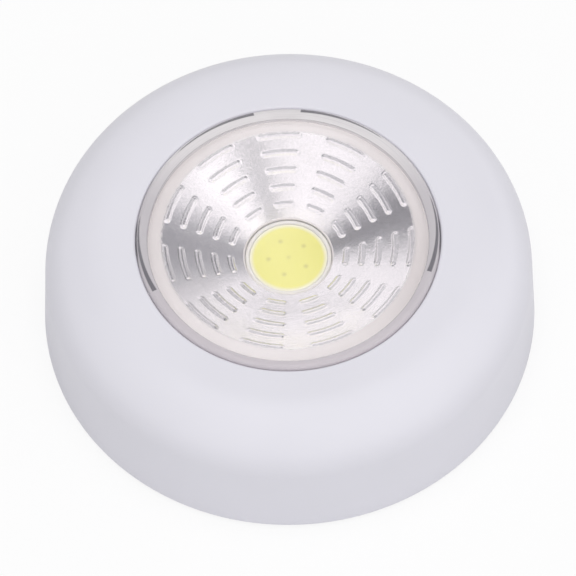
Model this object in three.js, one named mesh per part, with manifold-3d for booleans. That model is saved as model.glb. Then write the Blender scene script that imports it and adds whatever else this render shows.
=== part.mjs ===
// A battery puck light: the clear lens, the ribbed dish and the LED are one push button
// in a domed ring, over three cells, a latching switch and a twist-lock base plate.
// Millimetres and degrees. +Z comes out of the lens, the origin is the middle of the pad's face.

import * as THREE from "three";
import { mergeVertices } from "three/addons/utils/BufferGeometryUtils.js";
import Module from "manifold-3d";

const wasm = await Module();
wasm.setup();

// Driving sizes: with the cells below, these set the body, which comes to 75 across and 23 high
const lensDiameter = 45.9;
const pushTravel = 2;

// Housing
const footHeight = 0.4;
const footRounding = 0.8;
const sideDraft = 2.5;
const housingWall = 2;
const shoulderWidth = 9.8;
const shoulderHeight = 9;
const lipRounding = 0.4;
const collarThickness = 1.3;
const bossRadius = 2.7;
const bossGap = 1.4;

// Base plate, its adhesive pad and the twist lock
const padThickness = 1;
const padRadius = 27;
const plateThickness = 1.6;
const plateChamfer = 0.3;
const coverThickness = 0.8;
const coverGap = 0.35;
const upstandWall = 1.2;
const tabThickness = 1;
const tabSpan = 18;
const tabEdgeGap = 0.7;
const ledgeSpan = 20;
const ledgeReach = 1.9;
const ledgeGap = 0.3;
const ledgeSideGap = 0.4;
const ledgeThickness = 0.7;
const stopSpan = 3;
const stopGap = 0.5;

// Cells, in a triangle round the switch
const cellCount = 3;
const cellDiameter = 10.5;
const cellLength = 44.5;
const cellNubRadius = 1.9;
const cellNubHeight = 0.9;
const cellChamfer = 0.4;
const cellSideGap = 0.2;
const cellEndGap = 0.25;
const cellFloorGap = 0.4;
const cellRoofGap = 0.3;

// Contacts at the cells' ends
const contactThickness = 0.4;
const contactWidth = 6.4;
const contactHeight = 8.2;
const contactGap = 0.1;
const contactSlotGap = 0.3;
const contactCornerGap = 1.58;
const terminalTabLength = 0.4;
const terminalTabHeight = 2.6;
const cellSpringLength = 2.05;
const cellSpringRadius = 2.6;
const cellSpringTipRadius = 1.6;
const cellSpringWire = 0.3;
const cellSpringCurls = 2;

// Battery tray
const trayWall = 0.9;
const trayRim = 1;
const trayEdgeGap = 0.66;
const trayFloorGap = 0.3;
const trayRoof = 1.1;
const trayHubFloor = 1;

// Push button: carrier, LED board and dish
const hubGap = 0.8;
const hubFloor = 1.2;
const hubWall = 1;
const carrierWall = 1.2;
const pushEndGap = 0.3;
const flangeThickness = 1.4;
const flangeReach = 1.55;
const flangeLift = 0.3;
const flangeSpare = 1.3;
const carrierRingGap = 0.2;
const carrierRingWall = 1.6;
const ledBoardEdge = 0.4;
const ledBoardGap = 0.3;
const ledBoardThickness = 1;
const ledBoardDrop = 0.4;
const damRadius = 6.6;
const damWidth = 0.65;
const damHeight = 0.5;
const phosphorHeight = 0.35;
const phosphorGap = 0.1;

// Dish: sectors of ribs pressed up from a shallow cone, with a flat brim
const dishAngle = 22;
const dishThickness = 0.35;
const dishHoleGap = 0.2;
const ledScrewInset = 1.4;
const dishBrimWidth = 2;
const dishEdgeGap = 0.25;
const ribSectors = 11;
const ribCount = 5;
const ribWidth = 1;
const ribHeight = 0.3;
const ribInset = 2;
const ribMargin = 0.06;
const ribHalfSpan = 10.5;
const ribEndTaper = 1.5;
const ribFirstSector = 93.2;

// Lens
const lensThickness = 1.2;
const lensProud = 0.4;
const lensSkirtWall = 1.5;
const lensRounding = 0.9;
const lensRingGap = 0.35;
const lensSeatShare = 0.4;
const hookWidth = 4;
const hookThickness = 1.1;
const hookReach = 0.8;
const hookDepth = 0.7;

// Return springs, on pins of the carrier and in pockets of the tray
const returnSpringRadius = 2.2;
const returnSpringWire = 0.5;
const returnSpringCurls = 5;
const springPocketGap = 0.3;
const springPocketWall = 0.5;
const springPocketFloor = 1;
const springPocketRise = 3.1;
const guidePinGap = 0.65;
const guidePinSpare = 2.5;

// Switch and its board
const boardEdge = 0.6;
const boardThickness = 1.2;
const switchWidth = 7.8;
const switchHeight = 5.8;
const switchFloor = 0.8;
const plungerRadius = 1.6;
const plungerBoreGap = 0.3;
const plungerChamfer = 0.3;
const pressGap = 0.1;
const resistorLength = 3.2;
const resistorWidth = 1.6;
const resistorHeight = 0.6;

// Screws
const caseScrew = { head: 2.1, headHeight: 1.3, shank: 0.9, length: 6.5, slot: 0.5 };
const boardScrew = { head: 1.2, headHeight: 0.8, shank: 0.6, length: 2.1, slot: 0.35 };
const ledScrew = { head: 1, headHeight: 0.65, shank: 0.5, length: 2.6, slot: 0.3 };
const threadGap = 0.25;
const screwPost = 1.1;

// Wires
const wireRadius = 0.5;
const wireHoleGap = 0.4;
const wireEndGap = 0.2;
const wireSpread = 0.85;
const wireBow = 1.4;

// Fits, and how round the curved faces are
const seatGap = 0.2;
const overrun = 0.5;
const weld = 0.0001;
const wideSides = 60;
const middleSides = 36;
const smallSides = 12;
const tinySides = 6;
const shoulderSteps = 7;
const innerSteps = 4;
const roundingSteps = 2;
const coilSides = 5;
const coilSteps = 8;

const degrees = THREE.MathUtils.degToRad;
const slope = Math.tan(degrees(dishAngle));

// The LED sets the dish's hole, the board and the hub, and the hub sets the places of the cells
const lensRadius = lensDiameter / 2;
const cellRadius = cellDiameter / 2;
const dishHoleRadius = damRadius + dishHoleGap;
const ledScrewCircle = dishHoleRadius + ledScrewInset + ledScrew.head;
const ledBoardRadius = ledScrewCircle + ledScrew.head + ledBoardEdge;
const hubRadius = ledBoardRadius + ledBoardGap + hubWall;
const ledWireCircle = ledBoardRadius - wireRadius - wireHoleGap - hubWall;
const boardRadius = ledWireCircle + wireRadius + boardEdge;
const trayOpening = hubRadius + hubGap;
const cavityHalfLength = cellLength / 2 + cellEndGap;
const cavityHalfWidth = cellRadius + cellSideGap;
const third = 360 / cellCount;
const halfThird = degrees(third / 2);
const plusPlane = cellLength / 2 + contactGap + contactThickness / 2;
const minusPlane = -(cellLength / 2 + 2 * contactGap + cellSpringLength + contactThickness / 2);
const contactInner = Math.max(trayOpening + trayWall + cavityHalfWidth - contactWidth / 2,
  contactCornerGap - minusPlane / Math.tan(halfThird));
const contactOuter = contactInner + contactWidth;
const cellCircle = contactInner + contactWidth / 2;
const wellInner = cellCircle - cavityHalfWidth;
const wellOuter = cellCircle + cavityHalfWidth;

// Levels from the back: plate, cells, tray
const plateTop = padThickness + plateThickness;
const trayBottom = plateTop + trayFloorGap;
const cellLevel = plateTop + cellFloorGap + cellRadius;
const trayRoofBottom = cellLevel + cellRadius + cellRoofGap;
const trayRoofTop = trayRoofBottom + trayRoof;
const boardBottom = trayBottom + trayHubFloor;
const boardTop = boardBottom + boardThickness;
const switchTop = boardTop + switchHeight;

// Levels and radii of the push button: its cone clears the tray, and its hub the switch, by the travel
const hubDrop = slope * (trayOpening - dishHoleRadius) + ledBoardDrop + ledBoardThickness + hubFloor
  - carrierWall - seatGap;
const pushFloor = Math.max(trayRoofTop, switchTop + hubDrop);
const coneUnder = (radius) => pushFloor + pushTravel + pushEndGap + slope * (radius - trayOpening);
const coneTop = (radius) => coneUnder(radius) + carrierWall;
const dishUnder = (radius) => coneTop(radius) + seatGap;
const dishTop = (radius) => dishUnder(radius) + dishThickness;
const skirtInner = lensRadius - lensSkirtWall;
const dishRadius = skirtInner - dishEdgeGap;
const brimInner = dishRadius - dishBrimWidth;
const lensUnder = dishTop(brimInner) + lensSeatShare * ribHeight;
const lensTop = lensUnder + lensThickness;
const flangeBottom = pushFloor + pushTravel + flangeSpare;
const flangeTop = flangeBottom + flangeThickness;
const skirtBottom = flangeTop + flangeLift;
const ledBoardTop = dishUnder(dishHoleRadius) - ledBoardDrop;
const ledBoardBottom = ledBoardTop - ledBoardThickness;
const hubBottom = ledBoardBottom - hubFloor;
const carrierRingOuter = skirtInner - carrierRingGap;

// Levels and radii of the housing
const crest = Math.max(lensTop - lensProud, flangeTop + flangeLift + housingWall);
const lipRadius = lensRadius + lensRingGap;
const collarOuter = lipRadius + collarThickness;
const collarBottom = flangeTop + flangeLift;
const roofUnder = crest - housingWall;
const shoulderLevel = crest - shoulderHeight;
const flangeRadius = lipRadius + flangeReach;
const bossCircle = Math.max(flangeRadius + bossRadius, wellOuter + trayWall + caseScrew.head) + bossGap;
const cellCorner = Math.hypot(wellOuter, cavityHalfLength);
const trayRadius = Math.max(cellCorner, bossCircle + caseScrew.head) + trayRim;
const draftRun = Math.tan(degrees(sideDraft)) * (shoulderLevel - footHeight);
const shoulderRadius = Math.max(trayRadius + trayEdgeGap + housingWall, collarOuter + shoulderWidth);
const bodyRadius = shoulderRadius + draftRun;
const sideRadius = (level) => bodyRadius - Math.tan(degrees(sideDraft)) * (level - footHeight);
const wallRadius = (level) => sideRadius(level) - housingWall;
const shoulderCentre = shoulderRadius - shoulderWidth;
const coverTop = padThickness + coverThickness;
const coverRadius = wallRadius(plateTop) - coverGap;
const ledgeRadius = wallRadius(plateTop) - ledgeReach;
const ledgeBottom = coverTop + ledgeGap;
const ledgeTop = ledgeBottom + ledgeThickness;
const plateRadius = ledgeRadius - ledgeSideGap;
const tabRadius = wallRadius(plateTop) - tabEdgeGap;
const tabBottom = ledgeTop + ledgeGap;
const tabTop = tabBottom + tabThickness;

// The springs' pockets stand in the corners between the wells, over the wires to the contacts
const contactBottom = trayBottom + contactSlotGap;
const springPocket = returnSpringRadius + springPocketGap;
const springCircle = (wellInner - springPocket - springPocketWall) / Math.cos(halfThird);
const guidePinRadius = returnSpringRadius - returnSpringWire / 2 - guidePinGap;
const springPocketFloorTop = trayBottom + springPocketRise + springPocketFloor;
const guidePinBottom = springPocketFloorTop + pushTravel + guidePinSpare;
const wireLevel = boardBottom + wireRadius + seatGap;
const wireEndAway = contactInner - terminalTabLength - wireRadius - wireEndGap;
const wireEndAcross = wireEndAway * Math.sin(halfThird) - plusPlane * Math.cos(halfThird);

const cellAngle = (index) => degrees(90 + third * index);
const cornerAngle = (index) => degrees(90 + third * (index + 0.5));
const lastCorner = cellCount - 1;

// Colours and finishes
const finish = (color, roughness, metalness = 0) =>
  new THREE.MeshStandardMaterial({ color, roughness, metalness });
const whiteShell = () => finish("#e4e3ea", 0.25);
const whiteInner = () => finish("#e6e5e2", 0.45);
const clearLens = () => finish("#dcd8de", 0.08);
const brightDish = () => finish("#d9d8d6", 0.22, 0.9);
const steel = () => finish("#b9bbbe", 0.3, 1);
const nickel = () => finish("#cfccc4", 0.28, 1);

// A geometry as a solid that can be cut or joined
function solid(geometry) {
  const bare = geometry.clone();
  bare.deleteAttribute("normal");
  bare.deleteAttribute("uv");
  const merged = mergeVertices(bare, weld);
  const mesh = new wasm.Mesh({
    numProp: 3,
    vertProperties: merged.attributes.position.array,
    triVerts: Uint32Array.from(merged.index.array),
  });
  return new wasm.Manifold(mesh);
}

// The first shape with the others joined on, or cut away
const joined = (first, ...others) => others.reduce((whole, one) => whole.add(solid(one)), first);
const cut = (first, ...others) => others.reduce((whole, one) => whole.subtract(solid(one)), first);

function geometryOf(body) {
  const mesh = body.getMesh();
  const geometry = new THREE.BufferGeometry();
  geometry.setAttribute("position", new THREE.BufferAttribute(mesh.vertProperties, 3));
  geometry.setIndex(new THREE.BufferAttribute(mesh.triVerts, 1));
  return geometry;
}

// A closed outline of [radius, level] points, turned about Z
function turned(points, sides) {
  const outline = points.map(([radius, level]) => new THREE.Vector2(radius, level));
  return new THREE.LatheGeometry(outline, sides).rotateX(Math.PI / 2);
}

// Points of a quarter ellipse from angle a to angle b, as [radius, level]
function arc(centre, level, width, height, a, b, steps) {
  return Array.from({ length: steps + 1 }, (_, i) => {
    const angle = degrees(a + ((b - a) * i) / steps);
    return [centre + width * Math.cos(angle), level + height * Math.sin(angle)];
  });
}

function disc(radius, bottom, top, sides) {
  return turned([[0, bottom], [radius, bottom], [radius, top], [0, top]], sides);
}

// A box between two levels, from inner to outer along X and from left to right along Y, then turned
function block(inner, outer, left, right, bottom, top, angle = 0) {
  return new THREE.BoxGeometry(outer - inner, right - left, top - bottom)
    .translate((inner + outer) / 2, (left + right) / 2, (bottom + top) / 2)
    .rotateZ(angle);
}

function post(radius, bottom, top, away, angle, sides = smallSides) {
  return disc(radius, bottom, top, sides).translate(away, 0, 0).rotateZ(angle);
}

// Part of a ring, from one angle to another
function sector(inner, outer, from, to, bottom, top) {
  const shape = new THREE.Shape();
  shape.absarc(0, 0, outer, from, to, false);
  shape.absarc(0, 0, inner, to, from, true);
  const settings = { depth: top - bottom, bevelEnabled: false, curveSegments: tinySides };
  return new THREE.ExtrudeGeometry(shape, settings).translate(0, 0, bottom);
}

function polygon(corners, bottom, top) {
  const shape = new THREE.Shape(corners);
  const settings = { depth: top - bottom, bevelEnabled: false };
  return new THREE.ExtrudeGeometry(shape, settings).translate(0, 0, bottom);
}

// A round wire along a curve
function wire(curve, radius, sides, steps) {
  const round = Array.from({ length: sides }, (_, i) => {
    const angle = (2 * Math.PI * i) / sides;
    return new THREE.Vector2(radius * Math.cos(angle), radius * Math.sin(angle));
  });
  const settings = { steps, bevelEnabled: false, extrudePath: curve };
  return new THREE.ExtrudeGeometry(new THREE.Shape(round), settings);
}

// The middle line of a coil spring that stands on Z and may taper
class Coil extends THREE.Curve {
  constructor(low, high, length, curls) {
    super();
    Object.assign(this, { low, high, length, curls });
  }
  getPoint(share, target = new THREE.Vector3()) {
    const radius = THREE.MathUtils.lerp(this.low, this.high, share);
    const angle = 2 * Math.PI * this.curls * share;
    return target.set(radius * Math.cos(angle), radius * Math.sin(angle), this.length * share);
  }
}

function coil(low, high, length, curls, wireThickness) {
  const half = wireThickness / 2;
  const path = new Coil(low - half, high - half, length - wireThickness, curls);
  return wire(path, half, coilSides, curls * coilSteps).translate(0, 0, half);
}

// A pan-head screw on Z, its seat at the level zero and its head above, with a cross cut in it
function screw({ head, headHeight, shank, length, slot }) {
  const outline = [
    [0, -length],
    [shank, shank - length],
    [shank, 0],
    [head, 0],
    [head, headHeight / 2],
    [head - headHeight / 2, headHeight],
    [0, headHeight],
  ];
  const reach = head / 2;
  const floor = headHeight / 2;
  const along = block(-reach, reach, -slot / 2, slot / 2, floor, headHeight + overrun);
  const across = block(-slot / 2, slot / 2, -reach, reach, floor, headHeight + overrun);
  return geometryOf(cut(solid(turned(outline, smallSides)), along, across));
}

// A place by one cell: how far out from the lamp's axis, and how far along the cell
function byCell(index, out, along) {
  const place = new THREE.Vector2(out, along);
  return place.rotateAround(new THREE.Vector2(), cellAngle(index % cellCount));
}

// The wedge between the plus end of one cell and the minus end of the next
function wedge(index, inner, outer, bottom, top) {
  const corners = [
    byCell(index, inner, plusPlane),
    byCell(index, outer, plusPlane),
    byCell(index + 1, outer, minusPlane),
    byCell(index + 1, inner, minusPlane),
  ];
  return polygon(corners, bottom, top);
}

// Base

function adhesivePad() {
  return disc(padRadius, 0, padThickness, middleSides);
}

function basePlate() {
  const outline = [
    [0, padThickness],
    [coverRadius - plateChamfer, padThickness],
    [coverRadius, padThickness + plateChamfer],
    [coverRadius, coverTop],
    [plateRadius, coverTop],
    [plateRadius, plateTop],
    [0, plateTop],
  ];
  const hooks = [];
  for (let i = 0; i < cellCount; i += 1) {
    const from = cellAngle(i) - degrees(tabSpan / 2);
    const to = cellAngle(i) + degrees(tabSpan / 2);
    hooks.push(sector(plateRadius - upstandWall, plateRadius, from, to, plateTop - overrun, tabTop));
    hooks.push(sector(plateRadius - upstandWall, tabRadius, from, to, tabBottom, tabTop));
  }
  return geometryOf(joined(solid(turned(outline, wideSides)), ...hooks));
}

// Housing

function housing() {
  const shoulder = arc(shoulderCentre, shoulderLevel, shoulderWidth, shoulderHeight, 0, 90, shoulderSteps);
  const foot = arc(bodyRadius - footRounding, footHeight + footRounding, footRounding, footRounding,
    -90, 0, roundingSteps);
  const outer = solid(turned([[0, footHeight], ...foot, ...shoulder, [0, crest]], wideSides));

  const innerShoulder = arc(shoulderCentre, shoulderLevel, shoulderWidth - housingWall,
    shoulderHeight - housingWall, 0, 90, innerSteps);
  const lip = arc(lipRadius + lipRounding, crest - lipRounding, lipRounding, lipRounding,
    180, 90, roundingSteps);
  const hollow = turned([
    [0, footHeight - overrun],
    [wallRadius(footHeight), footHeight - overrun],
    ...innerShoulder,
    [collarOuter, roofUnder],
    [collarOuter, collarBottom],
    [lipRadius, collarBottom],
    ...lip,
    [lipRadius + lipRounding, crest + overrun],
    [0, crest + overrun],
  ], wideSides);

  const half = degrees(ledgeSpan / 2);
  const wallOverrun = wallRadius(plateTop) + overrun;
  const kept = [];
  for (let i = 0; i < cellCount; i += 1) {
    const middle = cellAngle(i);
    const stop = middle + degrees(tabSpan / 2 + stopGap);
    kept.push(sector(ledgeRadius, wallOverrun, middle - half, middle + half, ledgeBottom, ledgeTop));
    kept.push(sector(ledgeRadius, wallOverrun, stop, stop + degrees(stopSpan), ledgeBottom, tabTop));
    kept.push(post(bossRadius, trayRoofTop, crest, bossCircle, cellAngle(i)));
  }
  const shell = outer.subtract(cut(solid(hollow), ...kept));
  const bores = Array.from({ length: cellCount }, (_, i) =>
    post(caseScrew.shank + threadGap, trayRoofTop - overrun, trayRoofBottom + caseScrew.length + threadGap,
      bossCircle, cellAngle(i), tinySides));
  return geometryOf(cut(shell, ...bores));
}

// Battery tray: three cell wells, three spring pockets and the switch floor, open at the back

function batteryTray() {
  const slotReach = contactGap + contactThickness / 2 + contactSlotGap;
  const low = trayBottom - overrun;
  const walls = [
    disc(trayOpening + trayWall, trayBottom, trayRoofTop, middleSides),
  ];
  const holes = [
    disc(trayOpening, boardBottom, trayRoofTop + overrun, middleSides),
  ];
  for (let i = 0; i < cellCount; i += 1) {
    const angle = cellAngle(i);
    const corner = cornerAngle(i);
    walls.push(block(wellInner - trayWall, wellOuter + trayWall, minusPlane - slotReach - trayWall,
      plusPlane + slotReach + trayWall, trayBottom, trayRoofTop, angle));
    walls.push(post(springPocket + springPocketWall, trayBottom + springPocketRise, trayRoofTop,
      springCircle, corner));
    holes.push(block(wellInner, wellOuter, -cavityHalfLength, cavityHalfLength, low, trayRoofBottom, angle));
    holes.push(block(contactInner - contactSlotGap, contactOuter + contactSlotGap, minusPlane - slotReach,
      plusPlane + slotReach, low, trayRoofBottom, angle));
    holes.push(post(springPocket, springPocketFloorTop, trayRoofTop + overrun, springCircle, corner));
    holes.push(post(caseScrew.shank + threadGap, trayRoofBottom - overrun, trayRoofTop + overrun,
      bossCircle, angle, tinySides));
    const last = i === lastCorner;
    const wedgeInner = contactInner - 2 * contactSlotGap - (last ? terminalTabLength : 0);
    const wedgeTop = contactBottom + contactSlotGap + (last ? terminalTabHeight : contactThickness);
    holes.push(wedge(i, wedgeInner, contactOuter + 2 * contactSlotGap, low, wedgeTop));
  }
  const channel = Math.max(wireSpread, wireEndAcross) + wireRadius + wireHoleGap;
  const channelEnd = byCell(0, contactInner, minusPlane).length();
  for (const [index, plane] of [[lastCorner, plusPlane], [0, minusPlane]]) {
    holes.push(block(contactInner - terminalTabLength - contactSlotGap, contactInner, plane - slotReach,
      plane + slotReach, low, contactBottom + terminalTabHeight + contactSlotGap, cellAngle(index)));
  }
  holes.push(block(trayOpening - overrun, channelEnd, -channel, channel, low,
    wireLevel + wireRadius + 2 * wireHoleGap, cornerAngle(lastCorner)));
  for (const i of [0, 1]) {
    holes.push(post(boardScrew.shank + threadGap, low, boardBottom + overrun, boardScrewCircle,
      boardScrewAngle(i), tinySides));
  }
  const roof = disc(trayRadius, trayRoofBottom, trayRoofTop, wideSides);
  const rim = solid(disc(trayRadius, low, trayRoofTop + overrun, wideSides));
  return geometryOf(cut(joined(solid(roof), ...walls).intersect(rim), ...holes));
}

// Cells and their contacts

function cell() {
  const end = cellLength / 2;
  const face = end - cellNubHeight;
  const outline = [
    [0, -end],
    [cellRadius - cellChamfer, -end],
    [cellRadius, cellChamfer - end],
    [cellRadius, face - cellChamfer],
    [cellRadius - cellChamfer, face],
    [cellNubRadius, face],
    [cellNubRadius, end],
    [0, end],
  ];
  return turned(outline, 2 * smallSides);
}

// Lays a shape that stands on Z along a cell, with its foot at one place
function alongCell(geometry, index, start) {
  return geometry.rotateX(-Math.PI / 2).translate(cellCircle, start, cellLevel).rotateZ(cellAngle(index));
}

function contactPlate(index, plane) {
  const half = contactThickness / 2;
  return block(contactInner, contactOuter, plane - half, plane + half, contactBottom,
    contactBottom + contactHeight, cellAngle(index));
}

function bridgeContact(index) {
  const strap = wedge(index, contactInner, contactOuter, contactBottom, contactBottom + contactThickness);
  return geometryOf(joined(solid(contactPlate(index, plusPlane)),
    contactPlate((index + 1) % cellCount, minusPlane), strap));
}

function terminal(index, plane) {
  const half = contactThickness / 2;
  const tab = block(contactInner - terminalTabLength, contactInner + overrun, plane - half, plane + half,
    contactBottom, contactBottom + terminalTabHeight, cellAngle(index));
  return geometryOf(joined(solid(contactPlate(index, plane)), tab));
}

function cellSpring(index) {
  const shape = coil(cellSpringRadius, cellSpringTipRadius, cellSpringLength, cellSpringCurls,
    cellSpringWire);
  return alongCell(shape, index, minusPlane + contactThickness / 2 + contactGap);
}

// Switch board

const boardScrewCircle = boardRadius - boardScrew.head - seatGap;
const boardScrewAngle = (index) => cellAngle(0) + Math.PI * index;

function switchBoard() {
  const holes = [0, 1].map((i) => post(boardScrew.shank + threadGap, boardBottom - overrun,
    boardTop + overrun, boardScrewCircle, boardScrewAngle(i), tinySides));
  return geometryOf(cut(solid(disc(boardRadius, boardBottom, boardTop, middleSides)), ...holes));
}

function switchBody() {
  const half = switchWidth / 2;
  const bore = disc(plungerRadius + plungerBoreGap, boardTop + switchFloor, switchTop + overrun, smallSides);
  return geometryOf(cut(solid(block(-half, half, -half, half, boardTop, switchTop)), bore));
}

function switchPlunger() {
  const top = hubBottom - pressGap;
  return turned([
    [0, boardTop + switchFloor + pushTravel + pushEndGap],
    [plungerRadius, boardTop + switchFloor + pushTravel + pushEndGap],
    [plungerRadius, top - plungerChamfer],
    [plungerRadius - plungerChamfer, top],
    [0, top],
  ], smallSides);
}

function seriesResistor() {
  const middle = boardScrewCircle - resistorWidth / 2;
  const half = resistorLength / 2;
  return block(middle - resistorWidth / 2, middle + resistorWidth / 2, -half, half, boardTop,
    boardTop + resistorHeight, cellAngle(0) + degrees(third) / 2);
}

// Push button

const ledScrewAngle = (index) => cellAngle(0) + Math.PI * index;
const ledWireAngle = (side) => cornerAngle(0) + (side * degrees(third)) / 4;

function ledCarrier() {
  const pocket = hubRadius - hubWall;
  const ringInner = Math.min(carrierRingOuter - carrierRingWall, springCircle);
  const outline = [
    [0, hubBottom],
    [hubRadius, hubBottom],
    [hubRadius, coneUnder(hubRadius)],
    [ringInner, coneUnder(ringInner)],
    [ringInner, flangeBottom],
    [flangeRadius, flangeBottom],
    [flangeRadius, flangeTop],
    [carrierRingOuter, flangeTop],
    [carrierRingOuter, coneTop(brimInner)],
    [brimInner, coneTop(brimInner)],
    [pocket, coneTop(pocket)],
    [pocket, ledBoardBottom],
    [0, ledBoardBottom],
  ];
  const added = [];
  const holes = [];
  for (let i = 0; i < cellCount; i += 1) {
    const half = hookWidth / 2 + seatGap;
    added.push(post(guidePinRadius, guidePinBottom, flangeBottom + overrun,
      springCircle, cornerAngle(i), tinySides));
    holes.push(block(carrierRingOuter, lensRadius - lensSkirtWall + hookThickness + hookReach + 2 * seatGap,
      -half, half, flangeBottom - overrun, flangeTop + overrun, cellAngle(i)));
  }
  for (const i of [0, 1]) {
    added.push(post(screwPost + ledScrew.shank, ledBoardTop - ledScrew.length - seatGap,
      hubBottom + overrun, ledScrewCircle, ledScrewAngle(i)));
    holes.push(post(ledScrew.shank + threadGap, ledBoardTop - ledScrew.length - 2 * seatGap,
      ledBoardBottom + overrun, ledScrewCircle, ledScrewAngle(i), tinySides));
  }
  for (const side of [-1, 1]) {
    holes.push(post(wireRadius + wireHoleGap, hubBottom - overrun, ledBoardBottom + overrun,
      ledWireCircle, ledWireAngle(side), tinySides));
  }
  return geometryOf(cut(joined(solid(turned(outline, middleSides)), ...added), ...holes));
}

function ledBoard() {
  const holes = [0, 1].map((i) => post(ledScrew.shank + threadGap, ledBoardBottom - overrun,
    ledBoardTop + overrun, ledScrewCircle, ledScrewAngle(i), tinySides));
  return geometryOf(cut(solid(disc(ledBoardRadius, ledBoardBottom, ledBoardTop, middleSides)), ...holes));
}

function ledDamRing() {
  const inner = damRadius - damWidth;
  const middle = (damRadius + inner) / 2;
  return turned([
    [inner, ledBoardTop],
    [damRadius, ledBoardTop],
    ...arc(middle, ledBoardTop + damHeight / 2, damWidth / 2, damHeight / 2, 0, 180, roundingSteps),
    [inner, ledBoardTop],
  ], middleSides);
}

function ledPhosphor() {
  return disc(damRadius - damWidth - phosphorGap, ledBoardTop, ledBoardTop + phosphorHeight, middleSides);
}

// The dish as one closed band of rows and columns: up the ribbed face, and back under it
function reflector() {
  const firstRib = dishHoleRadius + ribInset;
  const lastRib = brimInner - ribMargin - ribWidth / 2;
  const rows = [{ radius: dishHoleRadius, level: dishTop(dishHoleRadius) }];
  for (let i = 0; i < ribCount; i += 1) {
    const middle = THREE.MathUtils.lerp(firstRib, lastRib, i / (ribCount - 1));
    for (const side of [-1, 0, 1]) {
      const radius = middle + (side * ribWidth) / 2;
      rows.push({ radius, level: dishTop(radius), rise: side === 0 ? ribHeight : 0 });
    }
  }
  rows.push({ radius: brimInner, level: dishTop(brimInner) });
  rows.push({ radius: dishRadius, level: dishTop(brimInner) });
  rows.push({ radius: dishRadius, level: dishUnder(brimInner) });
  rows.push({ radius: brimInner, level: dishUnder(brimInner) });
  rows.push({ radius: dishHoleRadius, level: dishUnder(dishHoleRadius) });

  const full = ribHalfSpan - ribEndTaper;
  const columns = [];
  for (let i = 0; i < ribSectors; i += 1) {
    const middle = ribFirstSector + (360 * i) / ribSectors;
    for (const offset of [-ribHalfSpan, -full, 0, full, ribHalfSpan]) {
      columns.push({ angle: degrees(middle + offset), share: Math.abs(offset) < ribHalfSpan ? 1 : 0 });
    }
  }
  const positions = [];
  for (const { radius, level, rise = 0 } of rows) {
    for (const { angle, share } of columns) {
      positions.push(radius * Math.cos(angle), radius * Math.sin(angle), level + rise * share);
    }
  }
  const at = (row, column) => (row % rows.length) * columns.length + (column % columns.length);
  const faces = [];
  for (let row = 0; row < rows.length; row += 1) {
    for (let column = 0; column < columns.length; column += 1) {
      const corners = [at(row, column), at(row + 1, column), at(row + 1, column + 1), at(row, column + 1)];
      faces.push(corners[0], corners[1], corners[2], corners[0], corners[2], corners[3]);
    }
  }
  const geometry = new THREE.BufferGeometry();
  geometry.setAttribute("position", new THREE.Float32BufferAttribute(positions, 3));
  geometry.setIndex(faces);
  return geometry;
}

function lens() {
  const outline = [
    [0, lensUnder],
    [skirtInner, lensUnder],
    [skirtInner, skirtBottom],
    [lensRadius, skirtBottom],
    ...arc(lensRadius - lensRounding, lensTop - lensRounding, lensRounding, lensRounding, 0, 90,
      roundingSteps),
    [0, lensTop],
  ];
  const half = hookWidth / 2;
  const barbTop = flangeBottom - seatGap;
  const hooks = [];
  for (let i = 0; i < cellCount; i += 1) {
    const inner = skirtInner + seatGap;
    hooks.push(block(inner, inner + hookThickness, -half, half, barbTop - hookDepth, skirtBottom + overrun,
      cellAngle(i)));
    hooks.push(block(inner, inner + hookThickness + hookReach, -half, half, barbTop - hookDepth, barbTop,
      cellAngle(i)));
  }
  return geometryOf(joined(solid(turned(outline, wideSides)), ...hooks));
}

function returnSpring(index) {
  const floor = springPocketFloorTop + contactGap;
  const length = flangeBottom - contactGap - floor;
  return coil(returnSpringRadius, returnSpringRadius, length, returnSpringCurls, returnSpringWire)
    .translate(springCircle, 0, floor)
    .rotateZ(cornerAngle(index));
}

// Wires

function routed(places, steps) {
  return wire(new THREE.CatmullRomCurve3(places), wireRadius, tinySides, steps);
}

function batteryWire(side, index, plane) {
  const corner = cornerAngle(lastCorner);
  const at = (away, across, level) =>
    new THREE.Vector3(away, across, level).applyAxisAngle(new THREE.Vector3(0, 0, 1), corner);
  const end = byCell(index, wireEndAway, plane);
  const landing = boardTop + wireRadius + wireEndGap;
  const across = side * wireSpread;
  return routed([
    at(boardRadius - 4 * wireRadius, across, landing),
    at(boardRadius - wireRadius, across, landing + wireRadius),
    at(trayOpening - wireRadius, across, wireLevel),
    at(springCircle, across, wireLevel),
    new THREE.Vector3(end.x, end.y, wireLevel),
  ], smallSides);
}

function ledWire(side) {
  const angle = ledWireAngle(side);
  const at = (away, level) => new THREE.Vector3(away * Math.cos(angle), away * Math.sin(angle), level);
  const low = boardTop + wireEndGap;
  const high = ledBoardBottom - wireEndGap;
  return routed([
    at(ledWireCircle, low),
    at(ledWireCircle + wireBow / 2, low + (high - low) / 4),
    at(ledWireCircle + wireBow, (low + high) / 2),
    at(ledWireCircle + wireBow / 4, high - (high - low) / 4),
    at(ledWireCircle, hubBottom),
    at(ledWireCircle, high),
  ], smallSides);
}

// The lamp as it goes together

const puckLight = new THREE.Group();

function group(...meshes) {
  puckLight.add(new THREE.Group().add(...meshes));
}

function part(name, geometry, material) {
  const mesh = new THREE.Mesh(geometry, material);
  mesh.name = name;
  return mesh;
}

function placed(mesh, x, y, z, turnedOver = false) {
  mesh.position.set(x, y, z);
  mesh.rotation.x = turnedOver ? Math.PI : 0;
  return mesh;
}

const cells = Array.from({ length: cellCount }, (_, i) => i);
const polar = (away, angle) => [away * Math.cos(angle), away * Math.sin(angle)];

group(
  part("adhesive_pad", adhesivePad(), finish("#d8d8d4", 0.9)),
  part("base_plate", basePlate(), whiteInner()),
);

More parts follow.
